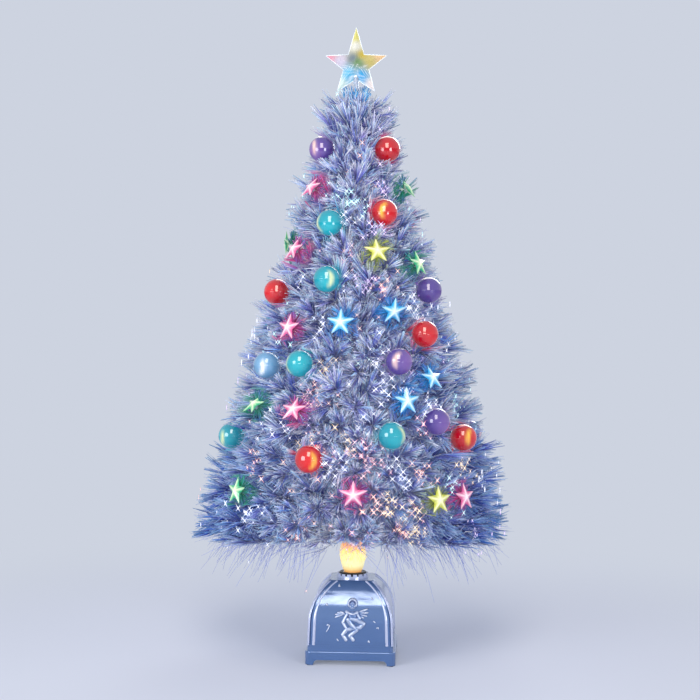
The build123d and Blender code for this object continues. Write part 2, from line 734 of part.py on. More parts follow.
class Branch:
    """One brush branch: its place on the mast, its directions and its reach."""

    def __init__(self, tier, azimuth, count):
        self.tier = tier
        self.azimuth = azimuth
        step = tier / (tier_count - 1)
        root = lowest_root_height + (highest_root_height - lowest_root_height) * step
        tip = lowest_tip_height + (peak_height - lowest_tip_height) * step
        run = outline_radius(tip)
        foot = tier_collar_radius + branch_root_gap
        slope = math.atan2(tip - root, run - foot)
        self.steepness = math.tan(slope)
        self.origin = Vector(0, 0, root - foot * self.steepness)
        self.along = round_point(math.cos(slope), azimuth, math.sin(slope))
        self.side = round_point(1, azimuth + 90, 0)
        self.up = self.side.cross(self.along) * -1
        self.start = foot / math.cos(slope) + branch_root_half * self.steepness
        self.full = run / math.cos(slope)
        self.strand_length = strand_length * max(strand_least_share, run / skirt_radius)
        self.reach = self.full - self.strand_length
        self.widening = branch_fill_share * math.tan(math.pi / count) * math.cos(slope)
        spacing = (highest_root_height - lowest_root_height) / (tier_count - 1)
        self.half_height = branch_height_share * spacing * math.cos(slope)
        self.stems = []

    def point(self, distance, across, rise):
        """Point in the branch's own directions."""
        return self.origin + self.along * distance + self.side * across + self.up * rise

    def local(self, point):
        """Distance along, across and above the branch of a point in space."""
        away = point - self.origin
        return away.dot(self.along), away.dot(self.side), away.dot(self.up)

    def half_width(self, distance):
        """Half the width of the branch's sector at a distance from the mast."""
        return self.widening * distance

    def height_at(self, distance):
        """Half the height of the brush at a distance; a steep one stays clear of the mast."""
        return min(self.half_height, branch_steep_share * distance / self.steepness)

    def give_way(self, centre, radius, depth):
        """Shortens the branch behind an ornament that it would run into."""
        distance, across, rise = self.local(centre)
        room = radius + ornament_clearance
        beside = abs(rise) > self.half_height + room or abs(across) > self.half_width(distance) + room
        if distance > 0 and not beside:
            self.stop_behind(centre, depth)

    def stop_behind(self, centre, depth):
        """Ends the branch behind an ornament, with room for its cap."""
        distance = self.local(centre)[0]
        self.reach = min(self.reach, distance - depth - cap_height - ornament_clearance)

    def solid(self, others):
        """The brush as a flat spindle, with its fibre ends and the stems of its ornaments."""
        shoulder = self.start + (self.reach - self.start) * branch_shoulder_share
        full_width = self.half_width(shoulder)
        full_height = self.height_at(shoulder)
        bevel = full_width * branch_bevel_share / full_height
        root_height = min(branch_root_half, branch_root_half / bevel) * branch_tip_width_share
        stations = (
            (self.start, branch_root_half, root_height),
            (shoulder, full_width, full_height),
            (self.reach, self.half_width(self.reach) * branch_tip_width_share,
             self.height_at(self.reach) * branch_tip_height_share),
        )
        rings = []
        for distance, width, height in stations:
            flat = width - bevel * height
            ring = ((width, 0), (flat, height), (-flat, height), (-width, 0), (-flat, -height), (flat, -height))
            rings.append([self.point(distance, across, rise) for across, rise in ring])
        brush = faceted(rings)
        extras = [s for s in self.strands() if clear_of(s, others)]
        self.strand_count = len(extras)
        tools = [strand(start, end) for start, end in extras] + self.stems
        return brush.fuse(*tools) if tools else brush

    def strands(self):
        """Ends of the fibre strands at the tip, and of those that hang from the lowest tier."""
        lines = []
        tip_half = self.half_width(self.reach) * branch_tip_width_share
        for index, share in enumerate(strand_place_shares):
            lift = strand_spread if index % 2 else -strand_spread
            start = self.point(self.reach - strand_anchor, tip_half * share * branch_tip_width_share, lift / 2)
            outward = self.reach + self.strand_length
            end = self.point(outward, self.half_width(outward) * share * branch_fill_share, 2 * lift)
            lines.append((start, end))
        if self.tier == 0:
            for index, share in enumerate(droop_place_shares):
                across = strand_spread * (index % 2 * 2 - 1)
                low = self.half_height * (1 - max(share - branch_shoulder_share, 0))
                start = self.point(self.reach * share, across, strand_anchor - low)
                fall = droop_length * droop_length_shares[index]
                lines.append((start, start + round_point(droop_outward, self.azimuth, -fall)))
        return lines


def clear_of(line, centres):
    """True when a strand keeps its distance from every ornament."""
    start, end = line
    for centre, radius in centres:
        for share in strand_test_shares:
            if (start + (end - start) * share - centre).length < radius + strand_clearance:
                return False
    return True


def plan_branches():
    """All branches, tier by tier; every other tier is turned by half a step."""
    branches = []
    for tier in range(tier_count):
        tip = lowest_tip_height + (peak_height - lowest_tip_height) * tier / (tier_count - 1)
        count = max(fewest_branches, round(2 * math.pi * outline_radius(tip) / branch_pitch))
        for n in range(count):
            branches.append(Branch(tier, 360 * (n + tier % 2 / 2) / count, count))
    return branches


def make_tier_collars():
    """Plastic rings on the mast that the branch wires plug into."""
    rings = []
    for tier in range(tier_count):
        middle = lowest_root_height + (highest_root_height - lowest_root_height) * tier / (tier_count - 1)
        rings.append(pipe(tier_collar_radius, mast_radius, middle - tier_collar_height / 2,
                          middle + tier_collar_height / 2))
    return rings


# Balls and stars


def make_ball():
    """Ball turned in flat bands, cut flat where its cap sits; the cap is on -Z."""
    flat = math.asin(cap_radius / ball_radius)
    bands = range(ball_bands + 1)
    turns = [flat + (math.pi - flat) * n / ball_bands for n in bands]
    points = [(ball_radius * math.sin(t), -ball_radius * math.cos(t)) for t in turns[:-1]]
    outline = [(0, points[0][1])] + points + [(0, ball_radius)]
    return revolve(Plane.XZ * polygon(outline), Axis.Z)


def ball_depth():
    """Distance from a ball's centre to its flat."""
    return math.sqrt(ball_radius * ball_radius - cap_radius * cap_radius)


def star_ring(radius, inner_radius, top_radius):
    """Ten corners of a five-point star in the XY plane, with its first point on +Y."""
    corners_list = []
    for n in range(2 * 5):
        reach = inner_radius if n % 2 else radius
        reach = top_radius if n == 0 else reach
        angle = math.pi * n / 5
        corners_list.append(Vector(reach * math.sin(angle), reach * math.cos(angle), 0))
    return corners_list


def make_star():
    """Faceted star with a low pyramid on both faces, cut flat where its cap sits on -Z."""
    ring = star_ring(star_radius, star_radius * star_inner_share, star_radius)
    wire = Wire.make_polygon(ring, close=True)
    front = Solid.make_loft([wire, Vertex(0, 0, star_half_thickness)], True)
    back = Solid.make_loft([Vertex(0, 0, -star_half_thickness), wire], True)
    slab = Pos(0, 0, -star_half_thickness) * Box(2 * star_radius, 2 * star_radius, 2 * star_flat_cut())
    return front.fuse(back) - slab


def star_flat_cut():
    """How much of the back pyramid's point is cut off for the cap."""
    return star_half_thickness / 3


def plan_ornaments():
    """Name, centre, radius and back depth of every ball and star, with the tree turned in its socket."""
    groups = (
        ("balls_red", red_ball_shares), ("balls_teal", teal_ball_shares), ("balls_violet", violet_ball_shares),
        ("balls_clear", clear_ball_shares), ("stars_pink", pink_star_shares), ("stars_green", green_star_shares),
        ("stars_yellow", yellow_star_shares), ("stars_cyan", cyan_star_shares),
    )
    plan = []
    for name, places in groups:
        is_ball = name.startswith("balls")
        sink = ball_sink if is_ball else star_sink
        radius = ball_radius if is_ball else star_radius
        depth = ball_depth() if is_ball else star_half_thickness - star_flat_cut()
        for degrees, share in places:
            height = share * tree_height
            plan.append((name, round_point(outline_radius(height) - sink, degrees + tree_turn, height), radius, depth))
    return plan


def nearest_branch(branches, centre):
    """The branch whose axis passes nearest to an ornament."""
    def miss(branch):
        distance, across, rise = branch.local(centre)
        return math.hypot(across, rise) if distance > 0 else tree_height
    return min(branches, key=miss)


def hang(branch, centre, depth):
    """Stem from a branch to an ornament; gives the stem and the ornament's plane."""
    distance, across, rise = branch.local(centre)
    begin = max(branch.reach - stem_anchor, branch.start + stem_size)
    most_across = branch.half_width(begin) * stem_side_share
    most_rise = branch.height_at(begin) * branch_tip_height_share * stem_rise_share
    across = max(-most_across, min(most_across, across * begin / distance))
    rise = max(-most_rise, min(most_rise, rise * begin / distance))
    start = branch.point(begin, across, rise)
    facing = (centre - start).normalized()
    seat = centre - facing * (depth + cap_height)
    side = facing.cross(Vector(0, 0, 1)).normalized()
    up = side.cross(facing)
    half = stem_size / 2
    square = ((-half, -half), (half, -half), (half, half), (-half, half))
    stem = faceted([[end + side * x + up * y for x, y in square] for end in (start, seat)])
    return stem, Plane(origin=centre, x_dir=side * -1, z_dir=facing)


def make_tree_dressing(branches):
    """Balls, stars and their caps, by node name; gives each carrying branch its stem."""
    plan = plan_ornaments()
    for name, centre, radius, depth in plan:
        back = depth if name.startswith("balls") else 2 * star_half_thickness
        nearest_branch(branches, centre).stop_behind(centre, back)
        for branch in branches:
            branch.give_way(centre, radius, back)
    ball = make_ball()
    star = make_star()
    cap = Cylinder(cap_radius, cap_height, align=(Align.CENTER, Align.CENTER, Align.MAX))
    nodes = {"ornament_caps": []}
    for name, centre, radius, depth in plan:
        branch = nearest_branch(branches, centre)
        stem, plane = hang(branch, centre, depth)
        branch.stems.append(stem)
        place = Location(plane)
        nodes.setdefault(name, []).append(place * (ball if name.startswith("balls") else star))
        nodes["ornament_caps"].append(place * (Pos(0, 0, -depth) * cap))
    return nodes


# Star on the mast's tip


def topper_pyramid(shrink):
    """One half of the star as a solid pyramid towards the front, drawn in by a shrink."""
    scale_share = 1 - shrink / topper_inner_radius
    top = tree_height - topper_centre_height
    ring = star_ring(topper_radius * scale_share, topper_inner_radius * scale_share, top * scale_share)
    wire = Wire.make_polygon(ring, close=True)
    return Solid.make_loft([wire, Vertex(0, 0, topper_depth - shrink)], True)


def make_topper_half():
    """Front half: a hollow faceted star, notched for the socket."""
    shell = topper_pyramid(0) - topper_pyramid(topper_wall)
    socket = Pos(0, socket_bottom - topper_centre_height) * (
        Rot(-90, 0, 0) * Cylinder(socket_radius + socket_play, socket_top - socket_bottom + socket_play,
                                  align=(Align.CENTER, Align.CENTER, Align.MIN))
    )
    half = shell - socket
    stand = Plane(origin=(0, -skin_gap / 2, topper_centre_height), x_dir=(1, 0, 0), z_dir=(0, -1, 0))
    return Location(stand) * half


def make_socket():
    """Tube that slides over the mast's tip and carries both halves."""
    body = upright(socket_radius, socket_bottom, socket_top)
    return body - upright(tip_radius + socket_play, socket_bottom - cut_over, tip_top + skin_gap)


def make_glow_rod():
    """Clear rod on the socket that spreads the light inside the star."""
    rod = upright(glow_rod_radius, socket_top, socket_top + glow_rod_length)
    return fillet(rod.edges().group_by(Axis.Z)[-1], glow_rod_radius * end_round_share)


def main():
    os.makedirs("parts", exist_ok=True)
    save("base_plinth", [make_plinth()])
    save("rubber_feet", make_feet())
    save("housing_screws", make_housing_screws())
    save("base_housing", [make_housing()])
    save("socket_collar", [make_collar()])
    save("lamp_bracket", [make_lamp_bracket()])
    save("lamp_screws", make_lamp_screws())
    save("lamp_holder", [make_lamp_holder()])
    save("halogen_lamp", [make_lamp()])
    save("lamp_reflector", [make_reflector()])
    save("wheel_frame", [make_wheel_frame()])
    save("colour_filters", make_filters())
    save("motor_shaft", [make_motor_shaft()])
    save("wheel_motor", [make_motor()])
    save("motor_bracket", [make_motor_bracket()])
    save("motor_screws", make_motor_screws())
    save("switch_bezel", [make_bezel()])
    save("switch_rocker", [make_rocker()])
    save("power_inlet", [make_inlet()])
    save("fibre_ferrule", [make_ferrule()])
    save("light_guide", [make_light_guide()])
    save("mast", [make_mast()])
    save("fibre_bundle", [make_bundle()])
    save("tier_collars", make_tier_collars())

    branches = plan_branches()
    for name, solids in make_tree_dressing(branches).items():
        save(name, solids)
    obstacles = [(centre, radius) for name, centre, radius, depth in plan_ornaments()]
    strands = 0
    for tier in range(tier_count):
        members = [b for b in branches if b.tier == tier and (b.stems or b.reach > shortest_branch)]
        save(f"branches_tier_{tier + 1:02d}", [b.solid(obstacles) for b in members])
        strands += sum(b.strand_count for b in members)
    print("branches", len(branches), "strands", strands)

    front = make_topper_half()
    save("topper_front", [front])
    save("topper_back", [mirror(front, Plane.XZ)])
    save("topper_socket", [make_socket()])
    save("topper_glow_rod", [make_glow_rod()])


main()
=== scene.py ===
import math

import bpy
import numpy as np
from mathutils import Matrix, Vector


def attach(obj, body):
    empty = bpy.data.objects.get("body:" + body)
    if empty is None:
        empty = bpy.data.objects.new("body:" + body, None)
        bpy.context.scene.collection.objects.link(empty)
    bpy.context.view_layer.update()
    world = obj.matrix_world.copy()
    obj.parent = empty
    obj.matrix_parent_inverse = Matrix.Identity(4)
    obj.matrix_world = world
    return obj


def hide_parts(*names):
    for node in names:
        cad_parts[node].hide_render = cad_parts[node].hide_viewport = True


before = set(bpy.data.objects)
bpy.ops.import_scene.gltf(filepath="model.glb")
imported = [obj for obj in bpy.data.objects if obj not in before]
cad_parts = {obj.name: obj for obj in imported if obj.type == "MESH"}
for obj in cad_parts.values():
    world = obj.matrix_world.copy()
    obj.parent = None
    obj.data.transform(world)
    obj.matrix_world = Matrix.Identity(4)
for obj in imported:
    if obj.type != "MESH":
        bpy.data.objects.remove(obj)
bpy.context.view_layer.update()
bpy.ops.object.select_all(action="DESELECT")
bpy.context.scene.view_settings.view_transform = "Standard"
chance = np.random.default_rng(24)


# Camera: level, at the middle of the tree's height, a little to the right of its front.
# The frame is square, so the lens is worked out from the size of a pixel at the mast.
view_distance = 2.54
view_height = 0.620
view_turn = math.radians(3.0)
view_pan = math.radians(0.38)
pixel_at_mast = 0.001909
picture_width = 700
shift_right, shift_up = -4.4, -19.4     # in pixels
sensor_width = 36.0

bpy.ops.object.camera_add(
    location=(view_distance * math.sin(view_turn), -view_distance * math.cos(view_turn), view_height),
    rotation=(math.pi / 2, 0, view_turn),
)
camera = bpy.context.object
camera.rotation_euler.rotate_axis("Z", view_pan)
camera.data.sensor_width = sensor_width
camera.data.lens = view_distance * sensor_width / (picture_width * pixel_at_mast)
camera.data.shift_x = shift_right / picture_width
camera.data.shift_y = shift_up / picture_width
camera.data.dof.use_dof = False
bpy.context.scene.camera = camera
bpy.ops.object.select_all(action="DESELECT")


# Studio: a pale sweep that goes on without a corner, lit by three round softboxes and two wide ones.
# They are where the round lights in the glossy balls and the bright bands on the dome ask for them.
def linear(code):
    """An sRGB hex colour as the linear colour that a shader reads."""
    parts = [int(code[i:i + 2], 16) / 255 for i in (1, 3, 5)]
    return [c / 12.92 if c <= 0.04045 else ((c + 0.055) / 1.055) ** 2.4 for c in parts] + [1.0]


def blank(name):
    """A material with an empty node tree."""
    made = bpy.data.materials.new(name)
    made.use_nodes = True
    made.node_tree.nodes.clear()
    return made


def add(holder, kind, inputs=None, **settings):
    """Adds a node with its settings; an input is a value, a colour's code, or another node's output to link."""
    made = holder.node_tree.nodes.new(kind)
    for key, value in settings.items():
        setattr(made, key, value)
    for key, value in (inputs or {}).items():
        if isinstance(value, bpy.types.NodeSocket):
            holder.node_tree.links.new(value, made.inputs[key])
        else:
            made.inputs[key].default_value = linear(value) if isinstance(value, str) else value
    return made


backdrop_colour = "#CDD3E0"
fill_colour = "#C9D6FA"
fill_strength = 0.42

world = bpy.data.worlds.new("pale_studio")
world.use_nodes = True
world.node_tree.nodes.clear()
bpy.context.scene.world = world
path = add(world, "ShaderNodeLightPath")
seen = add(world, "ShaderNodeMath", {0: path.outputs["Is Camera Ray"], 1: path.outputs["Is Glossy Ray"]},
           operation="MAXIMUM")
seen = add(world, "ShaderNodeMath", {0: seen.outputs[0], 1: path.outputs["Is Transmission Ray"]},
           operation="MAXIMUM")
fill = add(world, "ShaderNodeBackground", {"Color": fill_colour, "Strength": fill_strength})
plain = add(world, "ShaderNodeBackground", {"Color": backdrop_colour, "Strength": 1.0})
both = add(world, "ShaderNodeMixShader", {0: seen.outputs[0], 1: fill.outputs[0], 2: plain.outputs[0]})
add(world, "ShaderNodeOutputWorld", {"Surface": both.outputs[0]})

bpy.ops.mesh.primitive_circle_add(vertices=96, radius=9.0, fill_type="NGON")
floor = bpy.context.object
floor.name = "studio_floor"
paper = blank("pale_paper")
place = add(paper, "ShaderNodeTexCoord")
away = add(paper, "ShaderNodeVectorMath", {0: place.outputs["Object"]}, operation="LENGTH")
fade = add(paper, "ShaderNodeMapRange",
           {"Value": away.outputs["Value"], "From Min": 0.25, "From Max": 1.5, "To Min": 0.25, "To Max": 1.0},
           interpolation_type="SMOOTHSTEP")
path = add(paper, "ShaderNodeLightPath")
fade = add(paper, "ShaderNodeMath", {0: fade.outputs[0], 1: path.outputs["Is Camera Ray"]},
           operation="MULTIPLY")
matte = add(paper, "ShaderNodeBsdfDiffuse", {"Color": "#D8DDE8", "Roughness": 0.4})
even = add(paper, "ShaderNodeEmission", {"Color": backdrop_colour, "Strength": 1.0})
both = add(paper, "ShaderNodeMixShader", {0: fade.outputs[0], 1: matte.outputs[0], 2: even.outputs[0]})
add(paper, "ShaderNodeOutputMaterial", {"Surface": both.outputs[0]})
floor.data.materials.append(paper)


def softbox(name, spot, turn, size, power, colour):
    """An area lamp that the camera doesn't see: round, or a rectangle where it has two sizes."""
    bpy.ops.object.light_add(type="AREA", location=spot, rotation=turn)
    lamp = bpy.context.object
    lamp.name = name
    lamp.visible_camera = False
    lamp.data.shape = "DISK" if len(size) == 1 else "RECTANGLE"
    lamp.data.size = size[0]
    lamp.data.size_y = size[-1]
    lamp.data.energy = power
    lamp.data.color = linear(colour)[:3]


lit_height = 0.55
for name, spot, size, power in (("softbox_left", (-1.75, -2.0, 0.80), 1.6, 34.0),
                                ("softbox_right", (1.45, -2.2, 0.50), 1.0, 18.0),
                                ("softbox_rear", (0.9, 2.4, 1.9), 1.2, 22.0)):
    aim = Vector((0, 0, lit_height)) - Vector(spot)
    softbox(name, spot, aim.to_track_quat("-Z", "Y").to_euler(), [size], power, "#FBFCFF")

# The wide ones stand high at the front and rear and tip down, for the bands that cross the dome's panels.
wide_height = 1.85
wide_size = (0.75, 1.35)
for name, y, turn, power in (("wide_box_front", -1.6, 0, 20.0), ("wide_box_rear", 1.6, math.pi, 9.0)):
    tip_down = math.atan2(abs(y), wide_height)
    softbox(name, (0, y, wide_height), (tip_down, 0, turn), wide_size, power, "#FFF3E4")
bpy.ops.object.select_all(action="DESELECT")


# Base casing: plinth, four-sided dome and socket ring, moulded in ABS and sprayed with a
# silver-blue metallic lacquer under a clear coat. The fine flakes make it look satin.
def dress(names, material):
    """Gives CAD nodes one material."""
    for name in names:
        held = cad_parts[name].data.materials
        held.clear()
        held.append(material)


def own_place(holder):
    """Where a point lies in its object's own coordinates."""
    return add(holder, "ShaderNodeTexCoord").outputs["Object"]


def noise(holder, scale, detail=2.0):
    """Soft noise over the object, from 0 to 1."""
    made = add(holder, "ShaderNodeTexNoise", {"Vector": own_place(holder), "Scale": scale, "Detail": detail})
    return made.outputs["Fac"]


def flake_distance(holder):
    """The flakes of a metallic lacquer, as the distance from the middle of each."""
    made = add(holder, "ShaderNodeTexVoronoi", {"Vector": own_place(holder), "Scale": 1000.0})
    return made.outputs["Distance"]


def mixed(holder, share, first, second):
    """A colour between two."""
    return add(holder, "ShaderNodeMix", {0: share, 6: first, 7: second}, data_type="RGBA").outputs[2]


def spread(holder, share, low, high):
    """A share from 0 to 1 as a value between two."""
    return add(holder, "ShaderNodeMapRange", {"Value": share, "To Min": low, "To Max": high}).outputs[0]


def bumps(holder, scale, strength, distance):
    """The normals of a fine grain."""
    return add(holder, "ShaderNodeBump",
               {"Height": noise(holder, scale), "Strength": strength, "Distance": distance}).outputs[0]


def surface(holder, colour, roughness, more=None):
    """Gives a material its surface."""
    shader = add(holder, "ShaderNodeBsdfPrincipled",
                 {"Base Color": colour, "Roughness": roughness, **(more or {})})
    add(holder, "ShaderNodeOutputMaterial", {"Surface": shader.outputs[0]})


lacquer = blank("silver_blue_lacquer_on_abs")
flake = add(lacquer, "ShaderNodeMapRange", {"Value": flake_distance(lacquer), "From Max": 0.8})
cloud = noise(lacquer, 16.0)
shade = mixed(lacquer, flake.outputs[0], "#5B7FB4", "#6C90C2")
surface(lacquer, mixed(lacquer, cloud, shade, "#547AB0"), spread(lacquer, cloud, 0.13, 0.2),
        {"Metallic": 0.42, "Coat Weight": 1.0, "Coat Roughness": 0.13, "Coat IOR": 1.8})
dress(["base_plinth", "base_housing"], lacquer)


# Frame lines: a fine line along each edge of the dome and a broad one round each arched panel.
# They are moulded in and sprayed with a paler silver lacquer, which is a painted highlight along them; the ring
# that holds the tree has the same lacquer as its own colour.
wall_foot = (0.0795, 0.026)
wall_head = (0.0776, 0.080)
dome_bend = 0.095
dome_lean = math.radians(2.7)
dome_centre = (wall_head[0] - dome_bend * math.cos(dome_lean), wall_head[1] - dome_bend * math.sin(dome_lean))
dome_top = 0.151
line_foot = 0.0368
slim_over = 0.04         # height over which a line gets slim above the wall
draw_in = 0.07           # half width at which a sunk line follows the panel inwards


def dome_half(height, inset=0.0):
    """Half width of the dome's arch at a height, drawn in by an inset."""
    bend = dome_bend - inset
    head = (dome_centre[0] + bend * math.cos(dome_lean), dome_centre[1] + bend * math.sin(dome_lean))
    foot = wall_foot[0] - inset / math.cos(dome_lean)
    if height <= head[1]:
        return foot + (head[0] - foot) * (height - wall_foot[1]) / (head[1] - wall_foot[1])
    return dome_centre[0] + math.sqrt(max(bend ** 2 - (height - dome_centre[1]) ** 2, 0.0))


def arch_line(inset, side):
    """Points of a line on the front face that follows the arch from its foot to the crown, on one side."""
    heights = np.concatenate([np.linspace(line_foot, 0.080, 8), np.linspace(0.085, dome_top - 0.0016, 24)])
    return [(side * dome_half(z, inset), -dome_half(z), z) for z in heights]


def joined(things, name):
    """Several meshes as one, which is left selected."""
    bpy.ops.object.select_all(action="DESELECT")
    for thing in things:
        thing.select_set(True)
    bpy.context.view_layer.objects.active = things[0]
    bpy.ops.object.join()
    bpy.context.object.name = name
    return bpy.context.object


# Pale silver: the ring's own colour, and a painted highlight on the frame lines.
silver = blank("pale_silver_lacquer_and_painted_highlight")
surface(silver, mixed(silver, flake_distance(silver), "#C9D3F4", "#EAF0FF"), 0.22,
        {"Metallic": 0.4, "Coat Weight": 0.8, "Coat Roughness": 0.06})
dress(["socket_collar"], silver)

# Each kind of line has its inset from the dome's edge, its radius, how deep it is sunk,
# and how slim it is at the top.
line_kinds = (("edge_lines_painted_highlight", 0.0016, 0.0012, 0.0004, 0.8), ("frame_lines_painted_highlight", 0.0086, 0.0034, 0.0025, 0.5))
for name, inset, radius, sink, slim in line_kinds:
    sides = []
    for quarter in range(4):
        curve = bpy.data.curves.new(name, "CURVE")
        curve.dimensions = "3D"
        curve.bevel_depth = radius
        curve.bevel_resolution = 2
        curve.use_fill_caps = True
        spin = Matrix.Rotation(math.pi / 2 * quarter, 3, "Z")
        for hand in (-1, 1):
            route = curve.splines.new("POLY")
            points = arch_line(inset, hand)
            route.points.add(len(points) - 1)
            for knot, (x, y, z) in zip(route.points, points):
                knot.radius = 1 - (1 - slim) * min(max((z - wall_head[1]) / slim_over, 0), 1)
                depth = sink * knot.radius
                knot.co = (*(spin @ Vector((x * (1 - depth / draw_in), y + depth, z))), 1.0)
        side = bpy.data.objects.new(name, curve)
        bpy.context.collection.objects.link(side)
        side.select_set(True)
        bpy.context.view_layer.objects.active = side
        bpy.ops.object.convert(target="MESH")
        sides.append(bpy.context.object)
    lines = joined(sides, name)
    bpy.ops.object.shade_smooth()
    lines.data.materials.append(silver)
    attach(lines, "base")
    bpy.ops.object.select_all(action="DESELECT")


# Rubber feet: moulded in dull black rubber with a faint grain.
# They are pressed into the corners of the plinth.
rubber = blank("moulded_rubber")
surface(rubber, "#1B1C20", 0.85, {"Normal": bumps(rubber, 700.0, 0.2, 0.0003)})
dress(["rubber_feet"], rubber)


# Zinc-plated steel: screws, brackets and the motor's drawn can.
# The plating is bright with a slight cloudy bloom.
zinc = blank("zinc_plated_steel")
bloom = noise(zinc, 160.0, 3.0)
surface(zinc, mixed(zinc, bloom, "#B9BCC2", "#D3D6DB"), spread(zinc, bloom, 0.28, 0.45), {"Metallic": 1.0})
dress(["housing_screws", "lamp_bracket", "lamp_screws", "wheel_motor", "motor_bracket", "motor_screws",
       "motor_shaft"], zinc)


# Lamp: fired steatite holder, quartz capsule and a vacuum-coated glass bowl.
# All three stand inside the base and show only when it is opened.
steatite = blank("fired_steatite")
surface(steatite, mixed(steatite, noise(steatite, 900.0), "#E7E2D4", "#F1EDE2"), 0.55)
dress(["lamp_holder"], steatite)

quartz = blank("quartz_glass_lit")
surface(quartz, "#FFF6E0", 0.08, {"Emission Color": "#FFE2A8", "Emission Strength": 2.0})
dress(["halogen_lamp"], quartz)

coated = blank("vacuum_coated_glass")
surface(coated, "#DDE1EA", 0.12, {"Metallic": 1.0})
dress(["lamp_reflector"], coated)


# Black ABS: wheel frame, switch body, inlet and the ferrule that binds the fibres.
# It comes from a finely spark-eroded mould, which gives a soft sheen.
black = blank("black_moulded_abs")
surface(black, "#17181C", 0.38, {"Normal": bumps(black, 900.0, 0.15, 0.0002)})
dress(["wheel_frame", "switch_bezel", "power_inlet", "fibre_ferrule"], black)


# Colour filters: four sectors of dyed polycarbonate in the wheel, red, amber, green and blue.
# The colour of a sector follows from its side of the wheel's hub.
wheel_hub = 0.023
dyed = blank("dyed_polycarbonate")
split = add(dyed, "ShaderNodeSeparateXYZ", {0: own_place(dyed)})
right, rear = (add(dyed, "ShaderNodeMath", {0: split.outputs[axis], 1: wheel_hub},
                   operation="GREATER_THAN").outputs[0] for axis in "XY")
front_pair = mixed(dyed, right, "#E0322A", "#F0A81E")
rear_pair = mixed(dyed, right, "#2C9BE0", "#2FB45A")
surface(dyed, mixed(dyed, rear, front_pair, rear_pair), 0.1, {"Transmission Weight": 0.4})
dress(["colour_filters"], dyed)


# Switch rocker: moulded in red ABS, polished, with a slightly uneven shine from use.
# It sits on its pivot inside the bezel.
red_abs = blank("red_polished_abs")
surface(red_abs, "#C41E1E", spread(red_abs, noise(red_abs, 260.0), 0.14, 0.34))
dress(["switch_rocker"], red_abs)


# Mast and tier collars: enamelled steel tube with moulded nylon rings, both white.
# The rings are pushed on the tube and carry the roots of the branches.
enamel = blank("white_enamelled_steel")
surface(enamel, "#C9D1E4", 0.25, {"Normal": bumps(enamel, 350.0, 0.1, 0.0002)})
dress(["mast", "tier_collars"], enamel)


# Clear acrylic: ornament caps, star socket, its glow rod and the polished fibre block.
# It is cast and cut, and has a faint haze.
acrylic = blank("clear_cast_acrylic")
surface(acrylic, "#DCE8F6", spread(acrylic, noise(acrylic, 120.0), 0.05, 0.14),
        {"Transmission Weight": 0.6, "IOR": 1.49})
dress(["ornament_caps", "topper_socket", "topper_glow_rod", "light_guide"], acrylic)


# Carved relief on the front panel: a winged child seated with crossed legs, and small motifs.
# It is moulded with the housing in the same lacquer, and stands up to 6 mm proud. Its ridges are
# painted paler as painted highlight, and its hollows and its foot darker as painted shade.
panel_sink = 0.0009
bead_pitch = 1.2         # in millimetres
clay_grain = 0.0006
hollow_depth = 0.0012
smoothing_rounds = 30


def bead(x, z, across, tall, deep, turn=0.0):
    """An ellipsoid of clay on the panel, in millimetres, turned by degrees."""
    bpy.ops.mesh.primitive_uv_sphere_add(segments=16, ring_count=10, radius=1.0)
    lump = bpy.context.object
    lump.scale = (across / 1000, deep / 1000, tall / 1000)
    lump.rotation_euler = (0, math.radians(turn), 0)
    lump.location = (x / 1000, 0, z / 1000)
    bpy.ops.object.transform_apply(location=True, rotation=True, scale=True)
    return lump


def limb(points, thick_start, thick_end, deep=1.0):
    """Overlapping beads along a path of points, from one thickness to another."""
    lumps = []
    runs = list(zip(points[:-1], points[1:]))
    for index, ((x0, z0), (x1, z1)) in enumerate(runs):
        steps = max(2, round(math.hypot(x1 - x0, z1 - z0) / bead_pitch))
        for n in range(steps + 1):
            share = (index + n / steps) / len(runs)
            thick = thick_start + (thick_end - thick_start) * share
            x, z = x0 + (x1 - x0) * n / steps, z0 + (z1 - z0) * n / steps
            lumps.append(bead(x, z, thick, thick, thick * deep))
    return lumps


def wing(side, x, z, step, slim, feathers):
    """A fan of feathers from a shoulder; each has its length in millimetres and its lean in degrees."""
    made = []
    for index, (reach, lean) in enumerate(feathers):
        angle = math.radians(lean)
        made.append(bead(x + side * reach / 2 * math.sin(angle), z + reach / 2 * math.cos(angle) - index * step,
                         slim, reach / 2 + 2, 2.6, side * lean))
    return made


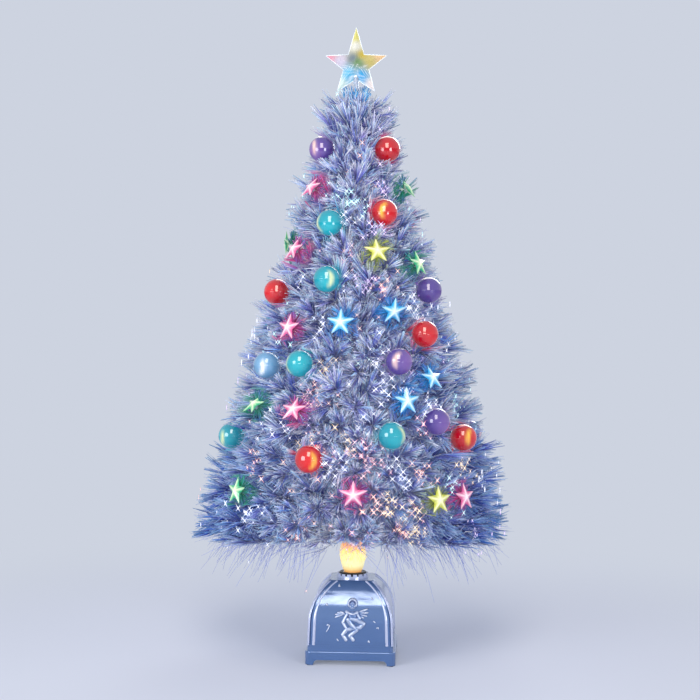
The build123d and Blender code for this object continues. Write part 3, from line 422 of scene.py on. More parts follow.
clay = [
    bead(3.6, 112.0, 8.2, 8.8, 4.6),                                              # head
    *(bead(3.6 + 7.6 * math.sin(t), 113.4 + 7.4 * math.cos(t), 2.5, 2.5, 5.6)     # curls
      for t in np.linspace(-2.0, 2.0, 11)),
    bead(3.6, 111.0, 1.1, 1.9, 6.6),                                              # nose
    *(bead(3.6 + s * 3.0, 113.6, 1.9, 0.8, 6.0, s * 8) for s in (-1, 1)),         # brows
    *(bead(3.6 + s * 4.0, 109.3, 2.2, 2.0, 5.2) for s in (-1, 1)),                # cheeks
    bead(3.6, 107.3, 1.9, 0.7, 5.6),                                              # mouth
    bead(4.0, 92.0, 10.0, 8.0, 4.0),                                              # chest
    bead(3.0, 84.0, 8.0, 7.0, 3.8),                                               # belly
    *limb([(-7.5, 99.0), (-1.0, 96.0), (6.0, 95.0), (13.0, 98.0)], 2.9, 2.9, 1.8),    # shoulders
    *limb([(-6.0, 95.0), (-13.7, 79.5), (-6.5, 67.5)], 3.6, 2.8, 1.3),                # arms
    *limb([(13.0, 95.0), (17.5, 88.0), (8.0, 84.5)], 3.6, 2.8, 1.3),
    *limb([(1.0, 86.0), (13.3, 84.3), (24.1, 77.6), (18.5, 71.0), (6.5, 68.5)], 5.0, 3.8, 1.0),    # legs
    *limb([(-4.0, 85.0), (3.5, 74.0), (11.5, 66.0), (-0.5, 55.5), (5.5, 47.8)], 5.2, 3.4, 1.0),
    *limb([(6.5, 68.5), (-6.9, 66.5), (-13.7, 57.0), (-7.8, 47.8)], 4.4, 3.4, 1.0),
    *wing(-1, -8.0, 97.0, 1.2, 2.3, ((22, 112), (20, 96), (16, 80), (12, 62))),
    *wing(1, 13.0, 97.5, 1.0, 2.1, ((20, 70), (20, 86), (18, 102), (13, 118))),
]
motifs = ((-23.0, 143.0, 20), (39.0, 122.5, -30), (-45.0, 111.4, 40), (-23.7, 47.6, -20), (34.0, 45.7, 25),
          (44.0, 81.9, -60), (50.3, 70.7, 70))
for x, z, turn in motifs:
    clay += [bead(x, z, 1.3, 2.9, 2.4, turn), bead(x + 1.6, z - 1.4, 1.5, 1.5, 2.0)]
clay += limb([(-44.0, 62.0), (-40.5, 68.0), (-38.5, 73.5)], 1.0, 1.5, 1.6)       # a hooked twig
clay += limb([(-38.5, 73.5), (-41.5, 75.5), (-43.5, 73.0)], 1.5, 0.9, 1.6)

relief = joined(clay, "panel_relief")
fuse = relief.modifiers.new("fuse", "REMESH")
fuse.mode = "VOXEL"
fuse.voxel_size = clay_grain
bpy.ops.object.modifier_apply(modifier="fuse")
soften = relief.modifiers.new("soften", "SMOOTH")
soften.factor = 0.5
soften.iterations = 3
bpy.ops.object.modifier_apply(modifier="soften")
proud = np.array([-point.co.y for point in relief.data.vertices])
for point in relief.data.vertices:
    point.co.y += panel_sink - dome_half(point.co.z)
bpy.ops.object.shade_smooth()
painted_light_and_shade = relief.data.color_attributes.new("painted_light_and_shade", "FLOAT_COLOR", "POINT")
tones = [np.array(linear(code)) for code in ("#1E2F66", "#6A8CC0", "#E2EBFA")]
pairs = np.array([edge.vertices[:] for edge in relief.data.edges])
ways = np.bincount(pairs.ravel(), minlength=len(proud))
level = proud
for n in range(smoothing_rounds):
    level = (np.bincount(pairs[:, 0], level[pairs[:, 1]], len(proud))
             + np.bincount(pairs[:, 1], level[pairs[:, 0]], len(proud))) / ways
# Painted light and shade: paler on the ridges, darker in the hollows and round the foot of the relief.
ridge_light_and_hollow_shade = 0.52 + (proud - level) / hollow_depth - np.clip(1 - (proud - clay_grain) / clay_grain, 0, 1)
shares = np.clip(ridge_light_and_hollow_shade[:, None] * 2 - [0, 1], 0, 1)
tones = tones[0] + (tones[1] - tones[0]) * shares[:, :1] + (tones[2] - tones[1]) * shares[:, 1:]
painted_light_and_shade.data.foreach_set("color", tones.astype(np.float32).ravel())
relief_lacquer = blank("silver_blue_lacquer_with_painted_light_and_shade")
layer = add(relief_lacquer, "ShaderNodeVertexColor", layer_name="painted_light_and_shade")
surface(relief_lacquer, layer.outputs["Color"], 0.25, {"Metallic": 0.3, "Coat Weight": 0.7})
relief.data.materials.clear()
relief.data.materials.append(relief_lacquer)
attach(relief, "base")
bpy.ops.object.select_all(action="DESELECT")


# Fibre bundle: hundreds of acrylic fibres leave the ferrule, bulge out and climb the mast.
# The lamp's amber light leaks from their bends, so the bulge glows.
def tint_of(code):
    """An sRGB hex colour as an array, for the tint layer of a mesh."""
    return np.array(linear(code)[:3])


def lit_by_tint(name, roughness, strength, more=None):
    """A material whose colour and glow come from the mesh's tint layer."""
    made = blank(name)
    tint = add(made, "ShaderNodeVertexColor", layer_name="tint").outputs["Color"]
    surface(made, tint, roughness, {"Emission Color": tint, "Emission Strength": strength, **(more or {})})
    made.cycles.emission_sampling = "NONE"
    return made


def pattern_of(thing):
    """Corner points and faces of a modelled pattern, to strew copies of."""
    points = np.array([v.co for v in thing.data.vertices])
    faces = [list(p.vertices) for p in thing.data.polygons]
    bpy.data.objects.remove(thing)
    return points, faces


def strew(name, faces, points, **layers):
    """One mesh of many copies of a pattern; a layer holds a colour for each point of each copy."""
    count, size = points.shape[:2]
    corners = np.concatenate(faces)
    lengths = np.array([len(f) for f in faces])
    offsets = np.arange(count)[:, None]
    loops = (corners[None, :] + size * offsets).ravel()
    starts = (np.concatenate([[0], np.cumsum(lengths)[:-1]])[None, :] + len(corners) * offsets).ravel()
    mesh = bpy.data.meshes.new(name)
    mesh.vertices.add(count * size)
    mesh.vertices.foreach_set("co", points.astype(np.float32).ravel())
    mesh.loops.add(len(loops))
    mesh.loops.foreach_set("vertex_index", loops.astype(np.int32))
    mesh.polygons.add(len(starts))
    mesh.polygons.foreach_set("loop_start", starts.astype(np.int32))
    for layer_name, colours in layers.items():
        layer = mesh.color_attributes.new(layer_name, "FLOAT_COLOR", "POINT")
        flat = np.concatenate([colours.reshape(-1, 3), np.ones((count * size, 1))], axis=1)
        layer.data.foreach_set("color", flat.astype(np.float32).ravel())
    mesh.update(calc_edges=True)
    mesh.validate()
    thing = bpy.data.objects.new(name, mesh)
    bpy.context.collection.objects.link(thing)
    return thing


def unit(vectors):
    """Vectors of length one."""
    return vectors / np.maximum(np.linalg.norm(vectors, axis=-1, keepdims=True), 1e-9)


def square_to(vectors, roll):
    """Two directions square to each vector and to each other, turned by a roll."""
    helper = np.where(np.abs(vectors[:, 2:3]) < 0.9, [[0.0, 0.0, 1.0]], [[1.0, 0.0, 0.0]])
    first = unit(np.cross(vectors, helper))
    second = np.cross(first, vectors)
    cos, sin = np.cos(roll)[:, None], np.sin(roll)[:, None]
    return first * cos + second * sin, second * cos - first * sin


def lay(pattern, starts, along, length, width, thick, roll=0.0, bend=0.0):
    """Copies of a slender pattern from starts, along directions, bent towards a vector at the tip."""
    length, width, thick, roll = (np.broadcast_to(v, len(starts)) for v in (length, width, thick, roll))
    bend = np.broadcast_to(bend, (len(starts), 3))
    across, through = square_to(along, roll)
    x, y, z = (pattern[None, :, i, None] for i in range(3))
    return (starts[:, None] + along[:, None] * (z * length[:, None, None])
            + across[:, None] * (x * width[:, None, None]) + through[:, None] * (y * thick[:, None, None])
            + bend[:, None] * z ** 2)


blade_fold = 0.55        # where a strip can bend, as a share of its length
blade_taper = 0.62       # width of its cut end
bpy.ops.mesh.primitive_cylinder_add(vertices=3, radius=0.5, depth=1.0, location=(0, 0, 0.5))
blade = bpy.context.object
bpy.ops.object.transform_apply(location=True)
bpy.ops.object.mode_set(mode="EDIT")
bpy.ops.mesh.select_all(action="SELECT")
bpy.ops.mesh.bisect(plane_co=(0, 0, blade_fold), plane_no=(0, 0, 1))
bpy.ops.object.mode_set(mode="OBJECT")
for point in blade.data.vertices:
    if point.co.z > blade_fold + 0.05:
        point.co.x *= blade_taper
        point.co.y *= blade_taper
blade_points, blade_faces = pattern_of(blade)

bulge_height = 0.187
bulge_radius = 0.0226
bundle_count = 1500
fibre_width, fibre_thick = 0.0011, 0.0009
turn = chance.uniform(0, 2 * math.pi, bundle_count)
climb = chance.uniform(-1.0, 0.95, bundle_count)        # from the ferrule to the foliage
below = climb < 0
ring = 1 - np.where(below, 0.30, 0.26) * climb ** 2
outward = np.stack([np.sin(turn), -np.cos(turn), np.zeros(bundle_count)], axis=1)
starts = outward * (ring * bulge_radius)[:, None]
starts[:, 2] = bulge_height + climb * np.where(below, 0.022, 0.025)
along = unit(outward * 0.06 + np.array([0, 0, 0.9]) + chance.normal(0, 0.18, (bundle_count, 3)))
length = chance.uniform(0.006, 0.011, bundle_count)
tufts = lay(blade_points, starts, along, length, fibre_width, fibre_thick,
            chance.uniform(0, 6.28, bundle_count))
amber = [tint_of(code) for code in ("#FFF2B0", "#FFE46C", "#FFC23C", "#F08A28", "#A8D45C")]
pick = chance.choice(len(amber), bundle_count, p=(0.50, 0.34, 0.11, 0.03, 0.02))
share = np.clip(blade_points[:, 2], 0, 1)[None, :, None]
tints = np.stack([amber[i] for i in pick])[:, None] * share + amber[0] * (1 - share)
for code, past_edge, strength in (("#E8902A", -0.45 - climb, 0.75), ("#EE9C6A", climb - 0.35, 0.7)):
    rim = np.clip(past_edge / 0.5, 0, 1)[:, None, None] * strength
    tints = tints * (1 - rim) + tint_of(code) * rim
bundle = strew("glowing_fibre_bundle", blade_faces, tufts, tint=tints)
bundle.data.materials.append(lit_by_tint("lit_acrylic_fibre", 0.3, 0.62))
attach(bundle, "tree")

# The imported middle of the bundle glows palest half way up.
core = blank("amber_acrylic_core")
split = add(core, "ShaderNodeSeparateXYZ", {0: own_place(core)})
foot, head = (add(core, "ShaderNodeMapRange", {"Value": split.outputs["Z"], "From Min": low, "From Max": high})
              for low, high in ((0.158, 0.174), (0.190, 0.214)))
glow = mixed(core, foot.outputs[0], "#E8902A", "#F8EFAE")
glow = mixed(core, head.outputs[0], glow, "#F2B070")
surface(core, glow, 0.5, {"Emission Color": glow, "Emission Strength": 0.6})
dress(["fibre_bundle"], core)


# Balls: blown in translucent styrene and lit from behind by a fibre, so each has a bright
# crescent of its own. Their centres are those of the solids in the frame.
def solids_of(name):
    """The separate closed shells of a CAD node, as arrays of their corner points."""
    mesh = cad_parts[name].data
    points = np.array([v.co for v in mesh.vertices])
    keys, same = np.unique(np.round(points, 6), axis=0, return_inverse=True)
    same = same.ravel()
    root = np.arange(len(keys))
    edges = np.array([e.vertices[:] for e in mesh.edges])
    a, b = same[edges[:, 0]], same[edges[:, 1]]
    while True:
        low = np.minimum(root[a], root[b])
        before = root.copy()
        np.minimum.at(root, a, low)
        np.minimum.at(root, b, low)
        root = root[root]
        if np.array_equal(before, root):
            break
    return [keys[root == r] for r in np.unique(root)]


def degrees_from(facing, way):
    """Angle of each direction to one way."""
    return np.degrees(np.arccos(np.clip(facing @ way, -1, 1)))


ball_radius = 0.0245
seam_bevel, seam_swell = 0.0005, 1.008
lit_side_reach, lit_side_share = 75, 0.6
arc_lean, arc_width = 44, 9
ball_finishes = {                # slot, then the tones of the body, its lit side and its lit arc
    "balls_red": ("ball_red", "#B40008", "#F01A12", "#FFCC44"),
    "balls_teal": ("ball_teal", "#048C9C", "#10B4BC", "#F0F0A8"),
    "balls_violet": ("ball_violet", "#4E3A86", "#9468B0", "#FFD8C4"),
    "balls_clear": ("ball_clear", "#5486AC", "#86B4D4", "#FFFFFF"),
}

bpy.ops.mesh.primitive_uv_sphere_add(segments=32, ring_count=20, radius=ball_radius)
ball = bpy.context.object
bpy.ops.object.mode_set(mode="EDIT")
bpy.ops.mesh.select_all(action="DESELECT")
bpy.ops.object.mode_set(mode="OBJECT")
for edge in ball.data.edges:
    edge.select = all(abs(ball.data.vertices[i].co.z) < 1e-5 for i in edge.vertices)
bpy.ops.object.mode_set(mode="EDIT")
bpy.ops.mesh.select_mode(type="EDGE")
bpy.ops.mesh.bevel(offset=seam_bevel, segments=2)
bpy.ops.object.mode_set(mode="OBJECT")
for point in ball.data.vertices:
    if abs(point.co.z) < 2e-4:
        point.co.x *= seam_swell
        point.co.y *= seam_swell
ball_points, ball_faces = pattern_of(ball)
facing = unit(ball_points)
styrene = lit_by_tint("translucent_styrene_lit", 0.07, 0.32,
                      {"Coat Weight": 1.0, "Coat Roughness": 0.03, "Coat IOR": 1.8, "IOR": 1.25})

ornaments = []
for name, (slot, *codes) in ball_finishes.items():
    body, glow, spark = (tint_of(code) for code in codes)
    places, tints = [], []
    for shell in solids_of(name):
        centre = (shell.min(0) + shell.max(0)) / 2
        out = unit(np.array([centre[0], centre[1], 0.0]))
        side = np.array([-out[1], out[0], 0.0])
        ornaments.append((centre, ball_radius, out, glow, "ball"))
        places.append(ball_points + centre)
        lamp_side = unit(out + side * chance.uniform(0.3, 0.9) + np.array([0, 0, chance.uniform(-0.7, 0.1)]))
        wide = np.clip(1 - degrees_from(facing, lamp_side) / lit_side_reach, 0, 1)[:, None] * lit_side_share
        hand = side * chance.choice([1, 1, 1, -1]) + np.array([0, 0, chance.uniform(-0.4, 0.3)])
        arc = np.exp(-((degrees_from(facing, out) - arc_lean) / arc_width) ** 2)
        hot = (arc * np.clip(2.2 * facing @ unit(hand) - 0.6, 0, 1))[:, None]
        colour = body * (1 - wide) + glow * wide
        tints.append(colour * (1 - hot) + spark * hot)
    group = strew(name + "_lit", ball_faces, np.array(places), tint=np.array(tints))
    group.data.polygons.foreach_set("use_smooth", [True] * len(group.data.polygons))
    group.data.materials.append(styrene)
    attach(group, "tree")
    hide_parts(name)


# Stars: injection moulded in frosted acrylic, five points with a ridge along each.
# The fibre behind them lights the ridges and the middle, and the faces stay deeper in colour.
star_radius = 0.026
ridge_width, ridge_fade = 0.0036, 0.032
heart_radius = 0.0085
star_finishes = {                # slot, then the tones of the arms, the lit middle, and the light painted on the film behind
    "stars_pink": ("star_pink", "#CC4A86", "#FFE4EA", "#A83470"),
    "stars_green": ("star_green", "#1FA872", "#EEFFD0", "#0A7C5C"),
    "stars_yellow": ("star_yellow", "#B4B838", "#FFFFC8", "#8A962A"),
    "stars_cyan": ("star_cyan", "#109AD0", "#E0FCFF", "#0A78B4"),
}
frosted = lit_by_tint("frosted_acrylic_lit", 0.18, 0.26, {"Coat Weight": 0.6})


def merged_copy(node, name):
    """A copy of a CAD node as one closed mesh, ready to be shaped in edit mode."""
    made = bpy.data.objects.new(name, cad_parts[node].data.copy())
    bpy.context.collection.objects.link(made)
    bpy.ops.object.select_all(action="DESELECT")
    made.select_set(True)
    bpy.context.view_layer.objects.active = made
    bpy.ops.object.mode_set(mode="EDIT")
    bpy.ops.mesh.select_all(action="SELECT")
    bpy.ops.mesh.remove_doubles(threshold=0.00001)
    bpy.ops.mesh.dissolve_limited(angle_limit=math.radians(1))
    bpy.ops.mesh.quads_convert_to_tris()
    return made


def paint(thing, colours, material):
    """Gives a mesh its tint layer and its one material."""
    layer = thing.data.color_attributes.new("tint", "FLOAT_COLOR", "POINT")
    layer.data.foreach_set("color", np.concatenate([colours, np.ones((len(colours), 1))], axis=1).ravel())
    thing.data.materials.clear()
    thing.data.materials.append(material)


def to_segments(points, starts, ends):
    """Distance from each point to the nearest of some segments."""
    lines = ends - starts
    share = ((points[:, None] - starts[None]) * lines[None]).sum(2) / (lines ** 2).sum(1)[None]
    nearest = starts[None] + lines[None] * np.clip(share, 0, 1)[..., None]
    return np.linalg.norm(points[:, None] - nearest, axis=2).min(axis=1)


for name, (slot, *codes) in star_finishes.items():
    arm, heart, halo = (tint_of(code) for code in codes)
    shells = solids_of(name)
    star = merged_copy(name, name + "_lit")
    bpy.ops.mesh.subdivide(number_cuts=5)
    bpy.ops.object.mode_set(mode="OBJECT")
    points = np.array([v.co for v in star.data.vertices])
    middles = np.array([(s.min(0) + s.max(0)) / 2 for s in shells])
    owner = np.linalg.norm(points[:, None] - middles[None], axis=2).argmin(axis=1)
    colour = np.zeros((len(points), 3))
    for index, shell in enumerate(shells):
        middle = shell.mean(axis=0)
        facing = np.linalg.svd(shell - middle)[2][2]
        flat = shell - middle
        flat = flat - (flat @ facing)[:, None] * facing
        reach = np.linalg.norm(flat, axis=1)
        tips = flat[reach > 0.92 * reach.max()]
        mine = owner == index
        own = points[mine] - middle
        own = own - (own @ facing)[:, None] * facing
        ridge = to_segments(own, np.zeros((len(tips), 3)), tips)
        core = np.linalg.norm(own, axis=1)
        white = np.clip(1.0 - ridge / ridge_width, 0, 1) * np.clip(1.25 - core / ridge_fade, 0.3, 1)
        white = np.maximum(white, np.clip(1.3 - core / heart_radius, 0, 1))[:, None]
        colour[mine] = arm * (1 - white) + heart * white
        out = unit(np.array([middle[0], middle[1], 0.0]))
        ornaments.append((middle, star_radius, out, halo, "star"))
    paint(star, colour, frosted)
    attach(star, "tree")
    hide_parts(name)
bpy.ops.object.select_all(action="DESELECT")


# Branches: each is a main wire with side twigs, wound with strips cut from pale blue film.
# The strips stand off the wire in locks like those of a bottle brush, and their cut ends look white.
tier_count = 14
root_heights = np.linspace(0.224, 0.996, tier_count)
tip_heights = np.linspace(0.262, 1.072, tier_count)
skirt_radius, skirt_height = 0.296, 0.286
peak_radius, peak_height = 0.054, 1.072
branch_pitch, twig_pitch = 0.150, 0.036
wire_ring = 0.0115               # radius at which the wires leave the mast
needle_length = 0.050
most_needles = 14000             # in one tier
needle_width = 0.0021
needle_thick = 0.0006
lock_rate = 250.0                # per metre of twig
lock_size = 8                    # needles in a lock
golden_turn = 2.39996
lean_at_root, lean_at_tip = 60, 28      # of a lock from its twig, in degrees
loose_tip = 0.90                 # beyond this share of a twig the locks point anywhere forwards
shared_tone = 0.65               # share of the needles that have the tone of their lock
pale_end, pale_body = 0.85, 0.14
foliage_floor = 0.236
front_lift = 0.024
foliage_crown = 1.050
crown_slope = 0.2
face_reach = 0.09                # how far before an ornament the film at the sides is cut away
down, up = np.array([0, 0, -1.0]), np.array([0, 0, 1.0])

film_tones = [tint_of(c) for c in ("#8C80D0", "#6C7CD6", "#4C55B6", "#263090", "#ECECFF", "#78AEEC")]
film_odds = (0.26, 0.22, 0.17, 0.13, 0.15, 0.07)
white_film, cyan_film = tint_of("#F4F8FF"), tint_of("#BFE6FA")
# Painted shade: the share of each colour channel that the film keeps at the tree's sides, at the skirt, and on
# the cut ends there.
painted_side_shade = np.array((0.18, 0.55, 0.95))
painted_skirt_shade = np.array((0.05, 0.28, 0.74))
painted_cut_end_shade = np.array((0.30, 0.58, 0.92))

# The film's glow is painted light: it lifts the shade inside the brushes, and near the ornaments it carries
# their light.
film = blank("pale_blue_cut_film")
tint, shine = (add(film, "ShaderNodeVertexColor", layer_name=layer) for layer in ("tint", "shine"))
surface(film, tint.outputs["Color"], 0.28, {"Emission Color": shine.outputs["Color"], "Emission Strength": 0.5})
film.cycles.emission_sampling = "NONE"


def outline(height):
    """Radius of the foliage outline at a height."""
    share = (max(height, skirt_height) - skirt_height) / (peak_height - skirt_height)
    return skirt_radius + (peak_radius - skirt_radius) * share


def round_point(radius, angle, height):
    """Point round the tree; angle 0 faces the front, a quarter turn is to the right."""
    return np.array([radius * math.sin(angle), -radius * math.cos(angle), height])


def keep_clear(points):
    """Which copies leave every ornament free, from the outside too."""
    free = np.ones(len(points), bool)
    for centre, radius, out, glow, kind in ornaments:
        away = points - centre
        ahead = away @ out
        beside = np.linalg.norm(away - ahead[..., None] * out, axis=2)
        if kind == "ball":
            inside = (np.linalg.norm(away, axis=2) < radius * 1.03) | ((ahead > 0) & (beside < radius * 0.97))
        else:
            inside = (ahead > -0.010) & (beside < radius * 0.94)
        if abs(out[1]) < 0.9:
            before = away[..., 1] * math.copysign(1.0, out[1] - 0.25)
            level = np.linalg.norm(away[..., [0, 2]], axis=2)
            inside |= (before > 0) & (before < face_reach) & (level < radius * 0.92)
        free &= ~inside.any(axis=1)
    return free


def lit_by_ornaments(points):
    """Colour and weight of the light that film near the lit ornaments takes from them."""
    colour = np.zeros(points.shape)
    total = np.zeros(points.shape[:2] + (1,))
    for centre, radius, out, glow, kind in ornaments:
        gap = np.linalg.norm(points - centre, axis=2) - radius
        reach = 0.012 if kind == "star" else 0.009
        weight = np.clip(1.2 - gap / reach, 0, 1)[..., None] * (1.0 if kind == "star" else 0.55)
        colour += glow * weight
        total += weight
    return colour / np.maximum(total, 1e-6), np.clip(total, 0, 0.92)


def comb(points):
    """Lifts the needles that would hang below the skirt, most of all at the front."""
    angle = np.arctan2(points[..., 0], -points[..., 1])
    floor = foliage_floor + front_lift * np.clip(np.cos(angle), 0, 1) ** 4
    low = points[..., 2] < floor
    points[..., 2] = np.where(low, floor - (floor - points[..., 2]) * 0.18, points[..., 2])
    return points


twig_lines = []
wire_lines = []
for tier in range(tier_count):
    root, tip = root_heights[tier], tip_heights[tier]
    run = outline(tip)
    count = max(6, round(2 * math.pi * run / branch_pitch))
    arc = 2 * math.pi * run / count
    across = max(2, round(arc / twig_pitch))
    members = []
    for n in range(count):
        azimuth = 2 * math.pi * (n + tier % 2 / 2) / count
        foot = round_point(wire_ring, azimuth, max(root, foliage_floor + 0.016))
        head = round_point(run - needle_length * 0.8, azimuth, tip - 0.004)
        wire_lines.append((foot, head))
        for i in range(across):
            offset = (i + 0.5) / across - 0.5
            turn = azimuth + 2 * math.pi / count * (offset + chance.uniform(-0.12, 0.12))
            lift = (0.016 if i % 2 else -0.016) + chance.uniform(-0.010, 0.010)
            reach = run - needle_length * chance.uniform(0.62, 1.10)
            end = round_point(reach, turn, tip + lift - 0.004)
            begin = foot + (head - foot) * chance.uniform(0.4, 0.55)
            members.append((begin, end, 1.0))
        for i in range(2):
            turn = azimuth + 2 * math.pi / count * chance.uniform(-0.3, 0.3)
            reach = run * chance.uniform(0.62, 0.74)
            end = round_point(reach, turn, root + (tip - root) * 0.7 + (0.02 if i else -0.014))
            begin = foot + (head - foot) * chance.uniform(0.12, 0.25)
            members.append((begin, end, 0.7))
    twig_lines.append(members)

for tier, members in enumerate(twig_lines):
    starts, along, length, width, roll, bend, lock_of = [], [], [], [], [], [], []
    locks = 0
    for begin, end, fullness in members:
        line = end - begin
        reach = np.linalg.norm(line)
        way = line / reach
        many = int(reach * lock_rate * fullness)
        lock_share = chance.uniform(0.05, 1.0, many) ** 0.66
        lock_turn = np.arange(many) * golden_turn + chance.uniform(0, 6.28)
        lock_lean = lean_at_root - (lean_at_root - lean_at_tip) * lock_share + chance.uniform(-12, 12, many)
        lock_lean = np.radians(np.where(lock_share > loose_tip, chance.uniform(2, 36, many), lock_lean))
        lock_length = needle_length * chance.uniform(0.78, 1.12, many)
        pick = np.repeat(np.arange(many), lock_size)
        count = len(pick)
        share = np.clip(lock_share[pick] + chance.normal(0, 0.010, count), 0.04, 1.0)
        turn = lock_turn[pick] + chance.normal(0, 0.15, count)
        lean = lock_lean[pick] + chance.normal(0, 0.07, count)
        size = lock_length[pick] * chance.uniform(0.82, 1.08, count)
        first, second = square_to(np.tile(way, (count, 1)), turn)
        starts.append(begin + line * share[:, None])
        along.append(way * np.cos(lean)[:, None] + first * np.sin(lean)[:, None])
        length.append(size)
        width.append(needle_width * chance.uniform(0.6, 1.6, many)[pick] * chance.uniform(0.8, 1.15, count))
        roll.append(chance.uniform(0, 2 * math.pi, count))
        bend.append(way * (size * chance.uniform(0.0, 0.12, count))[:, None]
                    + down * (size * chance.uniform(0.0, 0.10, count))[:, None])
        lock_of.append(pick + locks)
        locks += many
    starts, along, bend = (np.concatenate(a) for a in (starts, along, bend))
    length, width, roll, lock_of = (np.concatenate(a) for a in (length, width, roll, lock_of))
    blades = lay(blade_points, starts, along, length, width, needle_thick, roll, bend)
    if tier == 0:
        blades = comb(blades)
    ends = blades[:, -1]
    under_star = ends[:, 2] > foliage_crown + crown_slope * np.linalg.norm(ends[:, :2], axis=1)
    free = keep_clear(blades) & ~under_star
    kept = chance.permutation(np.flatnonzero(free))[:most_needles]
    blades, lock_of = blades[kept], lock_of[kept]
    own = chance.choice(len(film_tones), len(blades), p=film_odds)
    shared = chance.choice(len(film_tones), locks, p=film_odds)[lock_of]
    tones = np.stack(film_tones)[np.where(chance.uniform(0, 1, len(blades)) < shared_tone, shared, own)]
    tones = tones * chance.uniform(0.85, 1.15, (len(blades), 1))
    tones = tones * chance.uniform(0.55, 1.45, locks)[lock_of][:, None]
    # Painted shade: the film is darker and bluer towards the sides, most of all low down and at the skirt, with
    # a soft wave through it; its cut ends there are darker too.
    middle = blades.mean(axis=1)
    angle = np.arctan2(middle[:, 0], -middle[:, 1])
    low = np.clip(1 - (middle[:, 2] - 0.22) / 0.75, 0, 1)
    wave = 0.5 + 0.5 * np.sin(middle[:, 2] * 31 + angle * 3) * np.sin(middle[:, 2] * 17 - angle * 5)
    sides = (np.sin(angle) ** 2 * (0.35 + 0.65 * low) * 0.9 + 0.18 * wave)[:, None]
    tones = tones * (1 - sides + sides * painted_side_shade)
    skirt = (np.sin(angle) ** 2 * np.clip(1 - (middle[:, 2] - 0.27) / 0.22, 0, 1))[:, None]
    tones = tones * (1 - skirt + skirt * painted_skirt_shade)
    height_share = blade_points[:, 2][None, :, None]
    cut_end = np.where(chance.uniform(0, 1, (len(blades), 1)) < 0.6, white_film, cyan_film)
    paler = np.where(height_share > 0.9, pale_end, np.where(height_share > 0.3, pale_body, 0.0))
    cut_end = (cut_end * (1 - 0.3 * sides) * (1 - skirt + skirt * painted_cut_end_shade))[:, None]
    # Painted shade: each strip is darker at its root.
    tints = tones[:, None] * (0.84 + 0.16 * np.minimum(height_share * 2, 1))
    tints = tints * (1 - paler) + cut_end * paler
    glow, weight = lit_by_ornaments(blades)
    tints = tints * (1 - weight) + glow * weight
    # Painted glow: a little of the film's own colour, and much of the ornaments' light near them.
    shines = tints * 0.14 + glow * weight * 1.2
    foliage = strew(f"foliage_tier_{tier + 1:02d}", blade_faces, blades, tint=tints, shine=shines)
    foliage.data.materials.append(film)
    foliage.visible_glossy = False
    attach(foliage, "tree")
    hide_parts(f"branches_tier_{tier + 1:02d}")


# Film behind the ornaments: short wide strips of the same film stand out round each ball and star.
# They are painted with the ornament's light at their foot, as painted glow, and fade to the colour of the
# foliage.
halo_width = 0.0034
starts, along, tones = [], [], []
for centre, radius, out, glow, kind in ornaments:
    many, deep = (80, 0.007) if kind == "star" else (16, 0.012)
    first, second = square_to(np.tile(out, (many, 1)), chance.uniform(0, 2 * math.pi, many))
    reach = radius + chance.uniform(-0.004, 0.003, many)
    starts.append(centre - out * deep + chance.normal(0, 0.001, (many, 3)))
    along.append((first - out * chance.uniform(-0.05, 0.35, (many, 1))) * reach[:, None])
    tone = glow * chance.uniform(0.6, 1.3, (many, 1))
    fade = np.clip(blade_points[:, 2] - 0.45, 0, 1)[None, :, None] * chance.uniform(0.2, 1.3, (many, 1, 1))
    tones.append(tone[:, None] * (1 - fade) + film_tones[1] * fade)
starts, along, tones = (np.concatenate(a) for a in (starts, along, tones))
blades = lay(blade_points, starts, unit(along), np.linalg.norm(along, axis=1), halo_width, needle_thick,
             chance.uniform(0, 6.28, len(starts)))
haloes = strew("film_behind_ornaments", blade_faces, blades, tint=tones, shine=tones * 0.6)
haloes.data.materials.append(film)
haloes.visible_glossy = False
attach(haloes, "tree")


# Film tuft at the tip: the last strips stand upright round the star's socket.
# They take the cyan light that leaves the star between its legs.
tuft_count = 110
tuft_width = 0.0026
turn = chance.uniform(-1, 1, tuft_count)
side = chance.choice([-1.0, 1.0], tuft_count)
starts = np.stack([turn * 0.011, side * chance.uniform(0.0085, 0.0125, tuft_count),
                   chance.uniform(1.045, 1.058, tuft_count)], axis=1)
along = np.stack([turn * 0.020, side * 0.003, chance.uniform(0.030, 0.042, tuft_count)], axis=1)
along[side < 0, 2] *= 0.62
tones = np.where(chance.uniform(0, 1, (tuft_count, 1)) < 0.24, tint_of("#D4F2FF"),
                 tint_of("#0496D8") * chance.uniform(0.7, 1.3, (tuft_count, 1)))
tones = np.repeat(tones[:, None], len(blade_points), axis=1)
blades = lay(blade_points, starts, unit(along), np.linalg.norm(along, axis=1), tuft_width, needle_thick,
             chance.uniform(0, 6.28, tuft_count))
tuft = strew("film_tuft_at_tip", blade_faces, blades, tint=tones, shine=tones * 0.5)
tuft.data.materials.append(film)
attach(tuft, "tree")


# Branch wires: zinc-plated, one main wire for each branch, and the twigs wound on it.
# They run inside the brushes and hold the film.
wire_thick, twig_thick = 0.0026, 0.0016
twigs = [(begin, end) for members in twig_lines for begin, end, fullness in members]
runs = np.array(wire_lines + twigs)
lines = runs[:, 1] - runs[:, 0]
thick = np.array([wire_thick] * len(wire_lines) + [twig_thick] * len(twigs))
wires = lay(blade_points, runs[:, 0], unit(lines), np.linalg.norm(lines, axis=1), thick, thick)
wires = strew("branch_wires", blade_faces, wires)
wires.data.materials.append(zinc)
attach(wires, "tree")


